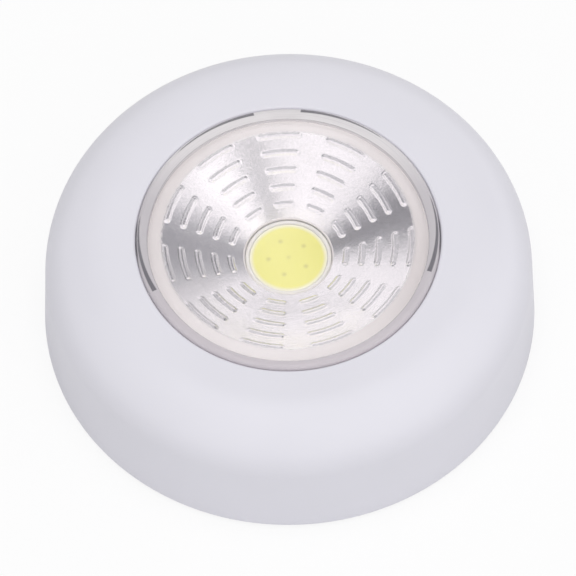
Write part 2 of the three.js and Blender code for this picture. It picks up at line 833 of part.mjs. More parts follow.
group(
  part("front_housing", housing(), whiteShell()),
  part("battery_tray", batteryTray(), whiteInner()),
  ...cells.map((i) => placed(part("housing_screw_" + (i + 1), screw(caseScrew), steel()),
    ...polar(bossCircle, cellAngle(i)), trayRoofBottom - contactGap, true)),
);

group(
  ...cells.map((i) => part("battery_" + (i + 1), alongCell(cell(), i, 0), finish("#3c4046", 0.35, 0.6))),
  ...cells.map((i) => part("battery_spring_" + (i + 1), cellSpring(i), nickel())),
  part("bridge_contact_1", bridgeContact(0), nickel()),
  part("bridge_contact_2", bridgeContact(1), nickel()),
  part("positive_terminal", terminal(lastCorner, plusPlane), nickel()),
  part("negative_terminal", terminal(0, minusPlane), nickel()),
);

group(
  part("switch_board", switchBoard(), finish("#2f6b45", 0.5)),
  ...[0, 1].map((i) => placed(part("switch_board_screw_" + (i + 1), screw(boardScrew), steel()),
    ...polar(boardScrewCircle, boardScrewAngle(i)), boardTop + contactGap)),
  part("switch_body", switchBody(), finish("#26282b", 0.5)),
  part("switch_plunger", switchPlunger(), finish("#ece9e2", 0.4)),
  part("series_resistor", seriesResistor(), finish("#1d1e20", 0.4)),
  part("battery_wire_positive", batteryWire(-1, lastCorner, plusPlane), finish("#b3261e", 0.5)),
  part("battery_wire_negative", batteryWire(1, 0, minusPlane), finish("#222326", 0.5)),
  part("led_wire_positive", ledWire(-1), finish("#b3261e", 0.5)),
  part("led_wire_negative", ledWire(1), finish("#222326", 0.5)),
);

group(
  part("led_carrier", ledCarrier(), whiteInner()),
  part("led_board", ledBoard(), finish("#c9cacb", 0.35, 0.8)),
  ...[0, 1].map((i) => placed(part("led_board_screw_" + (i + 1), screw(ledScrew), steel()),
    ...polar(ledScrewCircle, ledScrewAngle(i)), ledBoardTop + contactGap / 2)),
  part("led_dam_ring", ledDamRing(), finish("#ecead8", 0.4)),
  part("led_phosphor", ledPhosphor(), finish("#efe98f", 0.35)),
  part("reflector", reflector(), brightDish()),
  part("lens", lens(), clearLens()),
  ...cells.map((i) => part("return_spring_" + (i + 1), returnSpring(i), steel())),
);

export default puckLight;
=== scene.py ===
"""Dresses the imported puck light: a domed white ring, a clear lens over a ribbed dish, and a round LED."""

import logging
import math
from dataclasses import dataclass, field
from enum import Enum
from typing import Optional, Sequence, Union

import bmesh
import bpy
from mathutils import Matrix, Vector


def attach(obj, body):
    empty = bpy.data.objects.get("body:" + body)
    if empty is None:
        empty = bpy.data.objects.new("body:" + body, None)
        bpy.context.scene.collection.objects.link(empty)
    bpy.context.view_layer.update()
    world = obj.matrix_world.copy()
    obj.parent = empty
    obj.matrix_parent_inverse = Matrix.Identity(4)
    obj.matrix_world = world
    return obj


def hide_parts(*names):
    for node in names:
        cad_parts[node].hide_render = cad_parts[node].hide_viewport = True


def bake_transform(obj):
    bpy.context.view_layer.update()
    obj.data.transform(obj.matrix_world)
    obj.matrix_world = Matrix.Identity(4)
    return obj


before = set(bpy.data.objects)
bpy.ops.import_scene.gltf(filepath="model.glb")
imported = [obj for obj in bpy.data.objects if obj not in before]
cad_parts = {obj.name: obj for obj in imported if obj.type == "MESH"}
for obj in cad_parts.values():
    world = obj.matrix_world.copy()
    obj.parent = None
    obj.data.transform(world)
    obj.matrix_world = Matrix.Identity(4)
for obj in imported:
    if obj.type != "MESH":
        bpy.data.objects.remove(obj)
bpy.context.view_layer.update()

log = logging.getLogger("puck_light")

MM = 0.001
UNIT = 1.0
WHITE = (1.0, 1.0, 1.0)
ON_AXIS = 1e-6
SAME_PLACE = 1e-8

# Angles in degrees: a third of a turn, the middles of the cells and the corners between them
THIRD = 120.0
CELL_ANGLES = (90.0, 210.0, 330.0)
CORNER_ANGLES = (150.0, 270.0, 30.0)

Point = tuple[float, float]
Corner = tuple[float, float, float]
Place = tuple[float, float, float]
Colour = tuple[float, float, float]


class Body(str, Enum):
    """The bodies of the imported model."""

    BASE = "mount_base"
    HOUSING = "housing"
    BUTTON = "push_button"
    PLUNGER = "plunger"


class Slot(str, Enum):
    """The record's material slots."""

    FOAM = "foam"
    INNER = "inner_plastic"
    SHELL = "shell_plastic"
    SCREW = "screw_steel"
    JACKET = "battery_jacket"
    NICKEL = "contact_nickel"
    BOARD = "board_green"
    SWITCH = "switch_black"
    PLUNGER = "plunger_plastic"
    RED = "wire_red"
    BLACK = "wire_black"
    LED_BOARD = "board_aluminium"
    DAM = "dam_silicone"
    PHOSPHOR = "phosphor"
    DISH = "dish_aluminium"
    LENS = "lens_clear"
    SPRING = "spring_steel"


class Crease(float, Enum):
    """The angle from which an edge stays sharp, in degrees."""

    CRISP = 32.0
    THREAD = 40.0
    ROUND = 60.0


class Relief(float, Enum):
    """How deep a pattern in a surface is, in metres."""

    DRAWN = 0.00003
    GRAIN = 0.00004
    SLEEVE = 0.00005
    SKIN = 0.00006
    SPOT = 0.0001
    DENT = 0.0002
    FLOW = 0.0003


class Join(str, Enum):
    """What a second solid does to a first one."""

    ADD = "UNION"
    CUT = "DIFFERENCE"


# Node trees


class Sock:
    """A number that runs through a node tree; Python's operators on it add Math nodes."""

    def __init__(self, graph: "Graph", socket: bpy.types.NodeSocket) -> None:
        """Wraps one output socket.

        Args:
            graph: the builder that owns the tree.
            socket: the output socket.
        """
        self.graph = graph
        self.socket = socket

    def math(self, operation: str, *others: "Value") -> "Sock":
        """Adds a Math node with this socket first.

        Args:
            operation: the Math node's operation.
            others: what goes into its next inputs.

        Returns:
            The node's result.
        """
        inputs = dict(enumerate((self, *others)))
        return self.graph.node("ShaderNodeMath", {"operation": operation}, inputs).out()

    def __add__(self, other: "Value") -> "Sock":
        """The sum."""
        return self.math("ADD", other)

    def __radd__(self, other: "Value") -> "Sock":
        """The sum, with a number on the left."""
        return self.math("ADD", other)

    def __sub__(self, other: "Value") -> "Sock":
        """The difference."""
        return self.math("SUBTRACT", other)

    def __rsub__(self, other: "Value") -> "Sock":
        """A number less this."""
        return self.graph.number(other, "SUBTRACT", self)

    def __mul__(self, other: "Value") -> "Sock":
        """The product."""
        return self.math("MULTIPLY", other)

    def __truediv__(self, other: "Value") -> "Sock":
        """The quotient."""
        return self.math("DIVIDE", other)

    def __pow__(self, other: "Value") -> "Sock":
        """The power."""
        return self.math("POWER", other)

    def __neg__(self) -> "Sock":
        """The negative."""
        return self.math("MULTIPLY", -1.0)

    def __abs__(self) -> "Sock":
        """The size without its sign."""
        return self.math("ABSOLUTE")

    def least(self, other: "Value") -> "Sock":
        """The smaller of the two."""
        return self.math("MINIMUM", other)

    def most(self, other: "Value") -> "Sock":
        """The larger of the two."""
        return self.math("MAXIMUM", other)

    def sine(self) -> "Sock":
        """The sine of an angle in radians."""
        return self.math("SINE")

    def cosine(self) -> "Sock":
        """The cosine of an angle in radians."""
        return self.math("COSINE")

    def above(self, level: "Value") -> "Sock":
        """One where this is greater than the level."""
        return self.math("GREATER_THAN", level)

    def wrapped(self, low: "Value", high: "Value") -> "Sock":
        """Brought between two limits by whole turns."""
        return self.math("WRAP", high, low)

    def eased(self, low: float, high: float) -> "Sock":
        """Goes smoothly from 0 at one level to 1 at another.

        Args:
            low: where the result is 0.
            high: where the result is 1.

        Returns:
            The eased number.
        """
        settings = {"interpolation_type": "SMOOTHSTEP"}
        inputs = {"Value": self, "From Min": low, "From Max": high}
        return self.graph.node("ShaderNodeMapRange", settings, inputs).out("Result")


Value = Union[float, int, Sock]


class Made:
    """A node that a graph has just made."""

    def __init__(self, graph: "Graph", node: bpy.types.Node) -> None:
        """Keeps the node with its graph.

        Args:
            graph: the builder that owns the tree.
            node: the new node.
        """
        self.graph = graph
        self.node = node

    def out(self, name: Union[str, int] = 0) -> Sock:
        """The output of that name or place."""
        return Sock(self.graph, self.node.outputs[name])


class Graph:
    """Builds one shader or geometry tree."""

    def __init__(self, tree: bpy.types.NodeTree) -> None:
        """Starts on a tree.

        Args:
            tree: the tree to fill.
        """
        self.tree = tree

    def node(self, kind: str, settings: Optional[dict] = None, inputs: Optional[dict] = None) -> Made:
        """Adds a node, sets it up and feeds its sockets.

        Args:
            kind: the node's type.
            settings: its properties.
            inputs: values or sockets by name or place.

        Returns:
            The new node.
        """
        node = self.tree.nodes.new(kind)
        for key, value in (settings or {}).items():
            setattr(node, key, value)
        for key, value in (inputs or {}).items():
            target = node.inputs[key]
            if isinstance(value, Sock):
                self.tree.links.new(value.socket, target)
            else:
                target.default_value = value
        return Made(self, node)

    def number(self, value: Value, operation: str, other: Value) -> Sock:
        """Adds a Math node whose first input may be a plain number."""
        return self.node("ShaderNodeMath", {"operation": operation}, {0: value, 1: other}).out()

    def split(self, vector: Sock) -> tuple[Sock, Sock, Sock]:
        """The three parts of a vector."""
        made = self.node("ShaderNodeSeparateXYZ", {}, {"Vector": vector})
        return made.out("X"), made.out("Y"), made.out("Z")

    def vector(self, x: Value, y: Value, z: Value) -> Sock:
        """A vector from its three parts."""
        return self.node("ShaderNodeCombineXYZ", {}, {"X": x, "Y": y, "Z": z}).out()

    @staticmethod
    def distance(x: Sock, y: Sock) -> Sock:
        """How far two parts reach together."""
        return (x * x + y * y) ** 0.5

    def blended(self, share: Value, first: Union[Colour, Sock], second: Union[Colour, Sock]) -> Sock:
        """Mixes two colours.

        Args:
            share: how much of the second colour shows.
            first: a colour or a socket.
            second: a colour or a socket.

        Returns:
            The mixed colour.
        """
        pair = [one if isinstance(one, Sock) else (*one, 1.0) for one in (first, second)]
        made = self.node("ShaderNodeMix", {"data_type": "RGBA"}, {0: share, 6: pair[0], 7: pair[1]})
        return made.out(2)

    def noise(self, place: Sock, scale: float, detail: float = 3.0, roughness: float = 0.5) -> Sock:
        """A cloudy pattern between 0 and 1.

        Args:
            place: where it is read.
            scale: how many clouds fit in a metre.
            detail: how many finer layers it has.
            roughness: how strong the finer layers are.

        Returns:
            The pattern.
        """
        inputs = {"Vector": place, "Scale": scale, "Detail": detail, "Roughness": roughness}
        return self.node("ShaderNodeTexNoise", {}, inputs).out(0)

    def bump(self, height: Sock, strength: float, relief: Relief, normal: Optional[Sock] = None) -> Sock:
        """Turns a height into a shading normal.

        Args:
            height: the pattern.
            strength: how much of it shows.
            relief: how high its full range is.
            normal: another bump to stack on.

        Returns:
            The normal.
        """
        inputs = {"Strength": strength, "Distance": relief.value, "Height": height}
        if normal is not None:
            inputs["Normal"] = normal
        return self.node("ShaderNodeBump", {}, inputs).out()


# Finishes


@dataclass(frozen=True)
class Finish:
    """A material of the lamp, with the pattern that its surface shows."""

    name: str
    slot: Slot
    colour: Colour
    roughness: float
    metallic: float = 0.0

    def material(self) -> bpy.types.Material:
        """Builds the material.

        Returns:
            The new material.
        """
        made = bpy.data.materials.new(self.name)
        made.use_nodes = True
        made.node_tree.nodes.clear()
        graph = Graph(made.node_tree)
        place = graph.node("ShaderNodeTexCoord").out("Object")
        shader = graph.node("ShaderNodeBsdfPrincipled", {}, {
            "Base Color": (*self.colour, 1.0), "Roughness": self.roughness, "Metallic": self.metallic})
        for name, value in self.constants().items():
            shader.node.inputs[name].default_value = value
        for name, value in self.surface(graph, place).items():
            graph.tree.links.new(value.socket, shader.node.inputs[name])
        closure = self.wrapped(graph, shader.out())
        graph.node("ShaderNodeOutputMaterial", {}, {"Surface": closure})
        return made

    def constants(self) -> dict[str, object]:
        """What is the same all over the surface, by the shader's own sockets."""
        return {}

    def surface(self, graph: Graph, place: Sock) -> dict[str, Sock]:
        """What changes over the surface, by the shader's sockets."""
        return {}

    def wrapped(self, graph: Graph, shader: Sock) -> Sock:
        """The closure that the surface ends in."""
        return shader

    def shades(self, graph: Graph, share: Value, amount: float) -> Sock:
        """The base colour made darker by a pattern.

        Args:
            graph: the material's tree.
            share: the pattern.
            amount: how much darker its full strength is.

        Returns:
            The colour.
        """
        dark = tuple(one * (1.0 - amount) for one in self.colour)
        return graph.blended(share, self.colour, dark)


@dataclass(frozen=True)
class MouldedPlastic(Finish):
    """Injection-moulded plastic: faint flow clouds, a fine skin and a few scuffs."""

    cloud: float = 0.02
    skin: float = 0.05
    scuffs: float = 0.05
    specular: float = 0.5

    def constants(self) -> dict[str, object]:
        """A plain plastic gloss."""
        return {"Specular IOR Level": self.specular}

    def surface(self, graph: Graph, place: Sock) -> dict[str, Sock]:
        """Clouds in the colour, scuffs in the gloss and a fine skin in the normal.

        Args:
            graph: the material's tree.
            place: the place on the surface.

        Returns:
            The values by socket.
        """
        clouds = graph.noise(place, 60.0, 2.0).eased(0.35, 0.7)
        fine = graph.noise(place, 2600.0, 3.0, 0.6)
        waves = graph.noise(place, 140.0, 1.0)
        hair = graph.node("ShaderNodeMapping", {}, {"Vector": place, "Scale": (1.0, 0.12, 1.0)}).out()
        streaks = graph.noise(hair, 1900.0, 4.0, 0.7).eased(0.68, 0.76)
        patch = graph.noise(place, 95.0, 2.0).eased(0.52, 0.66)
        worn = streaks * patch * self.scuffs
        colour = self.shades(graph, clouds * self.cloud + worn * 0.5, 1.0)
        gloss = fine * 0.08 + worn * 1.5 + (self.roughness - 0.04)
        normal = graph.bump(fine, self.skin, Relief.SKIN, graph.bump(waves, 0.05, Relief.FLOW))
        return {"Base Color": colour, "Roughness": gloss, "Normal": normal}


@dataclass(frozen=True)
class PlatedMetal(Finish):
    """Plated steel or strip: fine drawn lines and dull blotches."""

    grain: tuple[float, float, float] = (1.0, 1.0, 0.08)
    dull: float = 0.18

    def surface(self, graph: Graph, place: Sock) -> dict[str, Sock]:
        """Blotches in the gloss, drawn lines in the normal and a slightly darker tarnish.

        Args:
            graph: the material's tree.
            place: the place on the surface.

        Returns:
            The values by socket.
        """
        lines = graph.node("ShaderNodeMapping", {}, {"Vector": place, "Scale": self.grain}).out()
        drawn = graph.noise(lines, 4200.0, 3.0, 0.6)
        blotch = graph.noise(place, 420.0, 3.0).eased(0.4, 0.75)
        return {
            "Base Color": self.shades(graph, blotch, 0.16),
            "Roughness": blotch * self.dull + drawn * 0.1 + self.roughness,
            "Normal": graph.bump(drawn, 0.12, Relief.DRAWN),
        }


@dataclass(frozen=True)
class ClosedFoam(Finish):
    """Closed-cell mounting foam with its open skin of small cells."""

    def surface(self, graph: Graph, place: Sock) -> dict[str, Sock]:
        """Small round cells in the normal, and in the colour with painted shade in their pits.

        Args:
            graph: the material's tree.
            place: the place on the surface.

        Returns:
            The values by socket.
        """
        cells = graph.node("ShaderNodeTexVoronoi", {}, {"Vector": place, "Scale": 1700.0}).out("Distance")
        # Painted shade: the cells' pits are darker.
        painted_pit_shade = 1.0 - cells.eased(0.1, 0.55)
        clouds = graph.noise(place, 90.0, 3.0)
        return {
            "Base Color": self.shades(graph, painted_pit_shade * 0.5 + clouds * 0.3, 0.3),
            "Normal": graph.bump(cells, 0.6, Relief.DENT),
        }


@dataclass(frozen=True)
class CellJacket(Finish):
    """The sleeve of a cell: a plain dark tube with a copper band at the plus end, and bare steel ends."""

    band: Colour = (0.62, 0.30, 0.11)
    band_start_share: float = 0.72
    steel: Colour = (0.62, 0.62, 0.6)
    sleeve_start_share: float = 0.86
    lines: float = 90.0

    def surface(self, graph: Graph, place: Sock) -> dict[str, Sock]:
        """Reads the along attribute, which runs from 0 at the minus end to 1 at the plus end.

        Args:
            graph: the material's tree.
            place: the place on the surface.

        Returns:
            The values by socket.
        """
        along = graph.node("ShaderNodeAttribute", {"attribute_name": "along"}).out("Fac")
        away = graph.node("ShaderNodeAttribute", {"attribute_name": "away"}).out("Fac")
        band = along.above(self.band_start_share)
        sleeve = away.above(self.sleeve_start_share)
        wear = graph.noise(place, 900.0, 4.0, 0.6)
        lines = (along * self.lines).wrapped(0.0, 1.0).eased(0.0, 0.5)
        printed = graph.blended(band, self.shades(graph, wear, 0.3), self.band)
        return {
            "Base Color": graph.blended(sleeve, self.steel, printed),
            "Metallic": 1.0 - sleeve * 0.5,
            "Roughness": wear * 0.15 + (self.roughness - 0.05),
            "Normal": graph.bump(lines * 0.3 + wear, 0.06, Relief.SLEEVE),
        }


@dataclass(frozen=True)
class SolderMask(Finish):
    """A circuit board: the glass weave and the copper tracks under its mask."""

    track: Colour = (0.1, 0.32, 0.14)
    edge: Colour = (0.45, 0.42, 0.28)
    rings_per_mm: float = 0.55
    threads: float = 9000.0

    def surface(self, graph: Graph, place: Sock) -> dict[str, Sock]:
        """Round tracks, a fine weave and a few vias.

        Args:
            graph: the material's tree.
            place: the place on the surface.

        Returns:
            The values by socket.
        """
        x, y, _ = graph.split(place)
        away = graph.distance(x, y) * (1.0 / MM)
        rings = (away * self.rings_per_mm).wrapped(0.0, 1.0)
        tracks = rings.eased(0.30, 0.36) * (1.0 - rings.eased(0.60, 0.66))
        gaps = graph.noise(place, 260.0, 1.0).eased(0.46, 0.5)
        weave = (x * self.threads).sine() * (y * self.threads).sine()
        vias = graph.node("ShaderNodeTexVoronoi", {}, {"Vector": place, "Scale": 260.0}).out("Distance")
        holes = 1.0 - vias.eased(0.1, 0.14)
        laid = tracks * gaps
        green = graph.blended(laid, self.shades(graph, weave * 0.2 + 0.2, 0.4), self.track)
        return {
            "Base Color": graph.blended(holes, green, self.edge),
            "Roughness": weave * 0.03 + (self.roughness - 0.03),
            "Normal": graph.bump(laid + weave * 0.1 - holes, 0.3, Relief.GRAIN),
        }


@dataclass(frozen=True)
class Insulation(Finish):
    """The soft sleeve of a wire, with a faint bloom and fine extrusion lines."""

    def surface(self, graph: Graph, place: Sock) -> dict[str, Sock]:
        """Bloom in the gloss and colour, fine lines in the normal.

        Args:
            graph: the material's tree.
            place: the place on the surface.

        Returns:
            The values by socket.
        """
        bloom = graph.noise(place, 500.0, 3.0)
        fine = graph.noise(place, 3600.0, 2.0)
        return {
            "Base Color": self.shades(graph, bloom, 0.3),
            "Roughness": bloom * 0.2 + (self.roughness - 0.1),
            "Normal": graph.bump(fine, 0.1, Relief.SLEEVE),
        }


@dataclass(frozen=True)
class PressedDish(Finish):
    """Bright rolled sheet, pressed to ribs: a dusty grain, faint dimples, a creamier brim with painted shade
    round it and a pale hole edge painted over its shade.
    """

    brim: Colour = (0.96, 0.935, 0.91)
    # Painted shade on the brim, darker towards the left and right, and the angle by which it turns.
    brim_painted_shade: Colour = (0.84, 0.81, 0.785)
    brim_start: Point = (18.75, 19.45)
    painted_shade_turn: float = 20.0
    # The hole's edge is painted pale and matt like the brim, painted light over the dark ring of shade
    # there.
    painted_hole_edge: Point = (6.8, 6.95)
    raggedness: float = 0.5

    def surface(self, graph: Graph, place: Sock) -> dict[str, Sock]:
        """Grain and dimples in the normal, dust in the gloss, the brim by its radius with painted shade
        round it, and the hole's edge painted pale.

        Args:
            graph: the material's tree.
            place: the place on the surface.

        Returns:
            The values by socket.
        """
        x, y, _ = graph.split(place)
        away = graph.distance(x, y)
        fine = graph.noise(place, 2400.0, 4.0, 0.7)
        grit = graph.noise(place, 4200.0, 2.0, 0.5)
        dust = graph.noise(place, 1500.0, 4.0, 0.7)
        ragged = away + (dust - 0.5) * (self.raggedness * MM)
        brim = ragged.eased(*(radius * MM for radius in self.brim_start))
        # The hole's edge takes the brim's pale matt colour, as painted light.
        brim = brim.most(1.0 - away.eased(*(radius * MM for radius in self.painted_hole_edge)))
        buckle = graph.noise(place, 210.0, 2.0)
        smear = graph.noise(place, 120.0, 3.0).eased(0.4, 0.7)
        specks = graph.noise(place, 2300.0, 1.0).eased(0.7, 0.76)
        # Painted shade on the brim: darker towards the left and right.
        twice = 2.0 * math.radians(self.painted_shade_turn)
        painted_shade_saddle = (x * y * (2.0 * math.sin(twice)) - (x * x - y * y) * math.cos(twice)) / (away * away)
        painted_shade_brim = graph.blended(painted_shade_saddle * -0.5 + 0.5, self.brim, self.brim_painted_shade)
        dirt = smear * 0.5 + specks + grit.eased(0.4, 0.6) * 0.7
        colour = graph.blended(brim, self.shades(graph, dirt, 0.08), painted_shade_brim)
        gloss = dust * 0.1 + smear * 0.05 + brim * 0.3 + (self.roughness - 0.06)
        normal = graph.bump(fine, 0.6, Relief.GRAIN, graph.bump(buckle, 0.22, Relief.DENT))
        return {"Base Color": colour, "Roughness": gloss, "Metallic": 1.0 - brim * 0.92, "Normal": normal}


@dataclass(frozen=True)
class YellowGel(Finish):
    """The LED's phosphor gel, with six faint chips under it, a paler rim and a faint painted glow."""

    rim: Colour = (0.98, 0.97, 0.76)
    spot: Colour = (0.62, 0.58, 0.2)
    rim_start: Point = (5.1, 5.9)
    chip_circle: float = 3.07
    chip_angle: float = 40.4
    chip_count: int = 5
    chip_radius: float = 0.62

    def constants(self) -> dict[str, object]:
        """A soft glossy gel with a sheen, and a faint painted glow that brightens it."""
        return {"Coat Weight": 1.0, "Coat Roughness": 0.15, "Coat IOR": 1.7, "Emission Strength": 0.045,
                "Sheen Weight": 0.5, "Sheen Roughness": 0.4}

    def surface(self, graph: Graph, place: Sock) -> dict[str, Sock]:
        """Spots over the chips, a pale rim, a grain of phosphor and the colour of the painted glow.

        Args:
            graph: the material's tree.
            place: the place on the surface.

        Returns:
            The values by socket.
        """
        x, y, _ = graph.split(place)
        x, y = x * (1.0 / MM), y * (1.0 / MM)
        away = graph.distance(x, y)
        spots = (-away).eased(-self.chip_radius, 0.0) * 0.6
        for index in range(self.chip_count):
            angle = math.radians(self.chip_angle + 360.0 / self.chip_count * index)
            across = x - self.chip_circle * math.cos(angle)
            along = y - self.chip_circle * math.sin(angle)
            spots = spots.most((-graph.distance(across, along)).eased(-self.chip_radius, 0.0))
        grain = graph.noise(place, 2600.0, 3.0, 0.6)
        cloud = graph.noise(place, 260.0, 2.0)
        rim = away.eased(*self.rim_start)
        base = graph.blended(rim, self.shades(graph, grain * 0.35 + cloud * 0.35, 0.12), self.rim)
        colour = graph.blended(spots * 0.5, base, self.spot)
        return {
            "Base Color": colour,
            # The painted glow takes the gel's own colour.
            "Emission Color": colour,
            "Normal": graph.bump(grain, 0.08, Relief.GRAIN, graph.bump(spots, 0.3, Relief.SPOT)),
        }


@dataclass(frozen=True)
class SoftSilicone(Finish):
    """The milky bead round the LED, with the depths in metres from which it glows."""

    depths: tuple[float, float, float] = (0.0004, 0.0004, 0.0003)

    def constants(self) -> dict[str, object]:
        """A faint glow under the skin."""
        return {"Subsurface Weight": 0.2, "Subsurface Radius": self.depths, "Coat Weight": 0.3}

    def surface(self, graph: Graph, place: Sock) -> dict[str, Sock]:
        """Small ripples of the laid bead.

        Args:
            graph: the material's tree.
            place: the place on the surface.

        Returns:
            The values by socket.
        """
        ripple = graph.noise(place, 900.0, 2.0)
        return {
            "Base Color": self.shades(graph, ripple, 0.06),
            "Roughness": ripple * 0.1 + (self.roughness - 0.05),
            "Normal": graph.bump(ripple, 0.2, Relief.SKIN),
        }


@dataclass(frozen=True)
class ClearLens(Finish):
    """Clear moulded plastic, which lets light through, in millimetres and degrees; its edge is painted matt
    with the look of what shows through it, with painted shade, painted light and painted shadow.
    """

    index: float = 1.49
    tint: Colour = (0.995, 0.99, 0.995)
    # Colours painted on the lens edge for what shows through it: side is its plain mauve, near is darker as
    # painted shade, far is lighter as painted light, wall is the pale skirt and dark is the painted shadow
    # in slivers.
    side: Colour = (0.54, 0.515, 0.545)
    near: Colour = (0.6, 0.555, 0.595)
    near_span: Point = (2.0, 15.0)
    far_painted_light: Colour = (0.78, 0.755, 0.77)
    far_span: Point = (5.0, 18.0)
    wall: Colour = (0.97, 0.95, 0.965)
    dark: Colour = (0.07, 0.07, 0.09)
    skirt_start: Point = (20.75, 20.95)
    skirt_top: Point = (21.5, 21.6)
    ring_start: Point = (21.08, 21.32)
    ring_shift: float = 0.02
    # How much of the painted colour covers the edge.
    painted_band_share: float = 0.86
    ring_grain: float = 5.2
    # Where the painted shadows lie: the slivers by the clips and the thin lines at the sides.
    clip_angle: float = 93.2
    clip_half: float = 9.3
    streak_radius: float = 22.4
    streak_reach: float = 36.0
    streak_drift: Point = (0.45, 0.8)
    streak_fade: Point = (-8.0, 14.0)
    streak_width: Point = (0.05, 0.3)
    streak_blur: float = 0.1
    streak_near: Point = (-12.5, -10.5)
    side_painted_shadow: Point = (22.72, 22.84)
    side_painted_shadow_end: Point = (1.8, 4.2)

    def constants(self) -> dict[str, object]:
        """Clear, with the index of acrylic."""
        return {"Transmission Weight": 1.0, "IOR": self.index}

    def surface(self, graph: Graph, place: Sock) -> dict[str, Sock]:
        """Fine rubbed marks in the gloss and a slow wave in the faces.

        Args:
            graph: the material's tree.
            place: the place on the surface.

        Returns:
            The values by socket.
        """
        wave = graph.noise(place, 70.0, 1.0)
        marks = graph.noise(place, 1500.0, 4.0, 0.7).eased(0.62, 0.8)
        return {
            "Roughness": marks * 0.04 + self.roughness,
            "Normal": graph.bump(wave, 0.03, Relief.DENT),
        }

    def streaks(self, x: Sock, y: Sock, away: Sock) -> Sock:
        """The painted shadows in the edge: dark slivers that grow towards each clip and end beside it, and a
        thin dark line at each side, by place in millimetres.

        Args:
            x: the place across.
            y: the place along.
            away: the distance from the axis.

        Returns:
            One in a painted shadow and zero beyond it.
        """
        azimuth = y.math("ARCTAN2", x) * math.degrees(1.0)
        turn = abs((azimuth - self.clip_angle).wrapped(-THIRD / 2, THIRD / 2)) - self.clip_half
        growth = (1.0 - turn * (1.0 / self.streak_reach)).most(0.0)
        outset, inset = self.streak_drift
        middle = self.streak_radius + (outset - growth * inset) * (1.0 - y.eased(*self.streak_fade))
        thin, swell = self.streak_width
        half = growth * swell + thin
        inside = 1.0 - (abs(away - middle) - half).eased(-self.streak_blur, self.streak_blur)
        inside = inside * growth.eased(0.0, 0.12) * turn.eased(-0.3, 0.1) * y.eased(*self.streak_near)
        # A thin painted shadow at the left and right sides of the edge.
        return inside.most((1.0 - abs(y).eased(*self.side_painted_shadow_end)) * away.eased(*self.side_painted_shadow))

    def painted_band(self, graph: Graph, x: Sock, y: Sock, z: Sock, away: Sock) -> Sock:
        """The painted colour of the edge, which stands in for what shows through it: mauve with fine rings,
        painted shade on the near side, painted light on the far side, painted shadow in dark slivers above,
        and pale on the skirt.

        Args:
            graph: the material's tree.
            x: the place across, in millimetres.
            y: the place along, in millimetres.
            z: the level, in millimetres.
            away: the distance from the axis, in millimetres.

        Returns:
            The colour.
        """
        rings = graph.noise(graph.vector(away, x * 0.01, y * 0.01), self.ring_grain, 2.0, 0.6)
        # Painted shade towards the near side and painted light towards the far side.
        ring = graph.blended((-y).eased(*self.near_span), self.side, self.near)
        ring = graph.blended(y.eased(*self.far_span), ring, self.far_painted_light)
        ring = graph.blended(rings.eased(0.4, 0.75) * 0.35, ring, self.side)
        # Painted shadow in the dark slivers.
        ring = graph.blended(self.streaks(x, y, away) * 0.9, ring, self.dark)
        return graph.blended(z.eased(*self.skirt_top), self.wall, ring)

    def wrapped(self, graph: Graph, shader: Sock) -> Sock:
        """Paints the edge over with a matt shader, which stands in for the light it gathers from what shows
        through it, and lets shadow rays pass to what is under the lens.

        Args:
            graph: the material's tree.
            shader: the clear plastic.

        Returns:
            The whole closure.
        """
        x, y, z = (part * (1.0 / MM) for part in graph.split(graph.node("ShaderNodeTexCoord").out("Object")))
        away = graph.distance(x, y)
        skirt = away.eased(*self.skirt_start) * (1.0 - z.eased(*self.skirt_top))
        fold = away + y * self.ring_shift
        share = skirt.most(fold.eased(*self.ring_start)) * self.painted_band_share
        # The matt shader that carries the painted colour of the edge.
        painted_band_shader = graph.node("ShaderNodeBsdfPrincipled", {}, {
            "Base Color": self.painted_band(graph, x, y, z, away), "Roughness": 0.4}).out()
        painted_mix = graph.node("ShaderNodeMixShader", {}, {0: share, 1: shader, 2: painted_band_shader}).out()
        shadow = graph.node("ShaderNodeLightPath").out("Is Shadow Ray")
        clear = graph.node("ShaderNodeBsdfTransparent", {}, {"Color": (*self.tint, 1.0)}).out()
        return graph.node("ShaderNodeMixShader", {}, {0: shadow, 1: painted_mix, 2: clear}).out()


SHELL = MouldedPlastic("white_shell", Slot.SHELL, (0.745, 0.738, 0.80), 0.34, cloud=0.015, scuffs=0.07)
INNER = MouldedPlastic("white_inner", Slot.INNER, (0.72, 0.71, 0.68), 0.48, cloud=0.05)
CARRIER = MouldedPlastic("white_carrier", Slot.INNER, (0.74, 0.71, 0.72), 0.42, cloud=0.05)
FOAM = ClosedFoam("mounting_foam", Slot.FOAM, (0.70, 0.70, 0.67), 0.9)
SCREW = PlatedMetal("zinc_screw", Slot.SCREW, (0.62, 0.62, 0.63), 0.28, 1.0)
SPRING = PlatedMetal("spring_wire", Slot.SPRING, (0.56, 0.57, 0.58), 0.24, 1.0)
NICKEL = PlatedMetal("nickel_strip", Slot.NICKEL, (0.66, 0.63, 0.57), 0.22, 1.0)
JACKET = CellJacket("cell_jacket", Slot.JACKET, (0.035, 0.04, 0.05), 0.32, 0.5)
GREEN = SolderMask("green_mask", Slot.BOARD, (0.03, 0.18, 0.07), 0.36)
LED_METAL = PlatedMetal("led_board_face", Slot.LED_BOARD, (0.85, 0.85, 0.83), 0.35, 0.1, dull=0.1)
SWITCH = MouldedPlastic("black_switch", Slot.SWITCH, (0.022, 0.023, 0.026), 0.42, cloud=0.2)
PLUNGER = MouldedPlastic("plunger_white", Slot.PLUNGER, (0.76, 0.74, 0.70), 0.4, cloud=0.04)
CHIP = MouldedPlastic("chip_black", Slot.SWITCH, (0.016, 0.016, 0.018), 0.38, cloud=0.2)
RED_WIRE = Insulation("red_sleeve", Slot.RED, (0.52, 0.03, 0.02), 0.45)
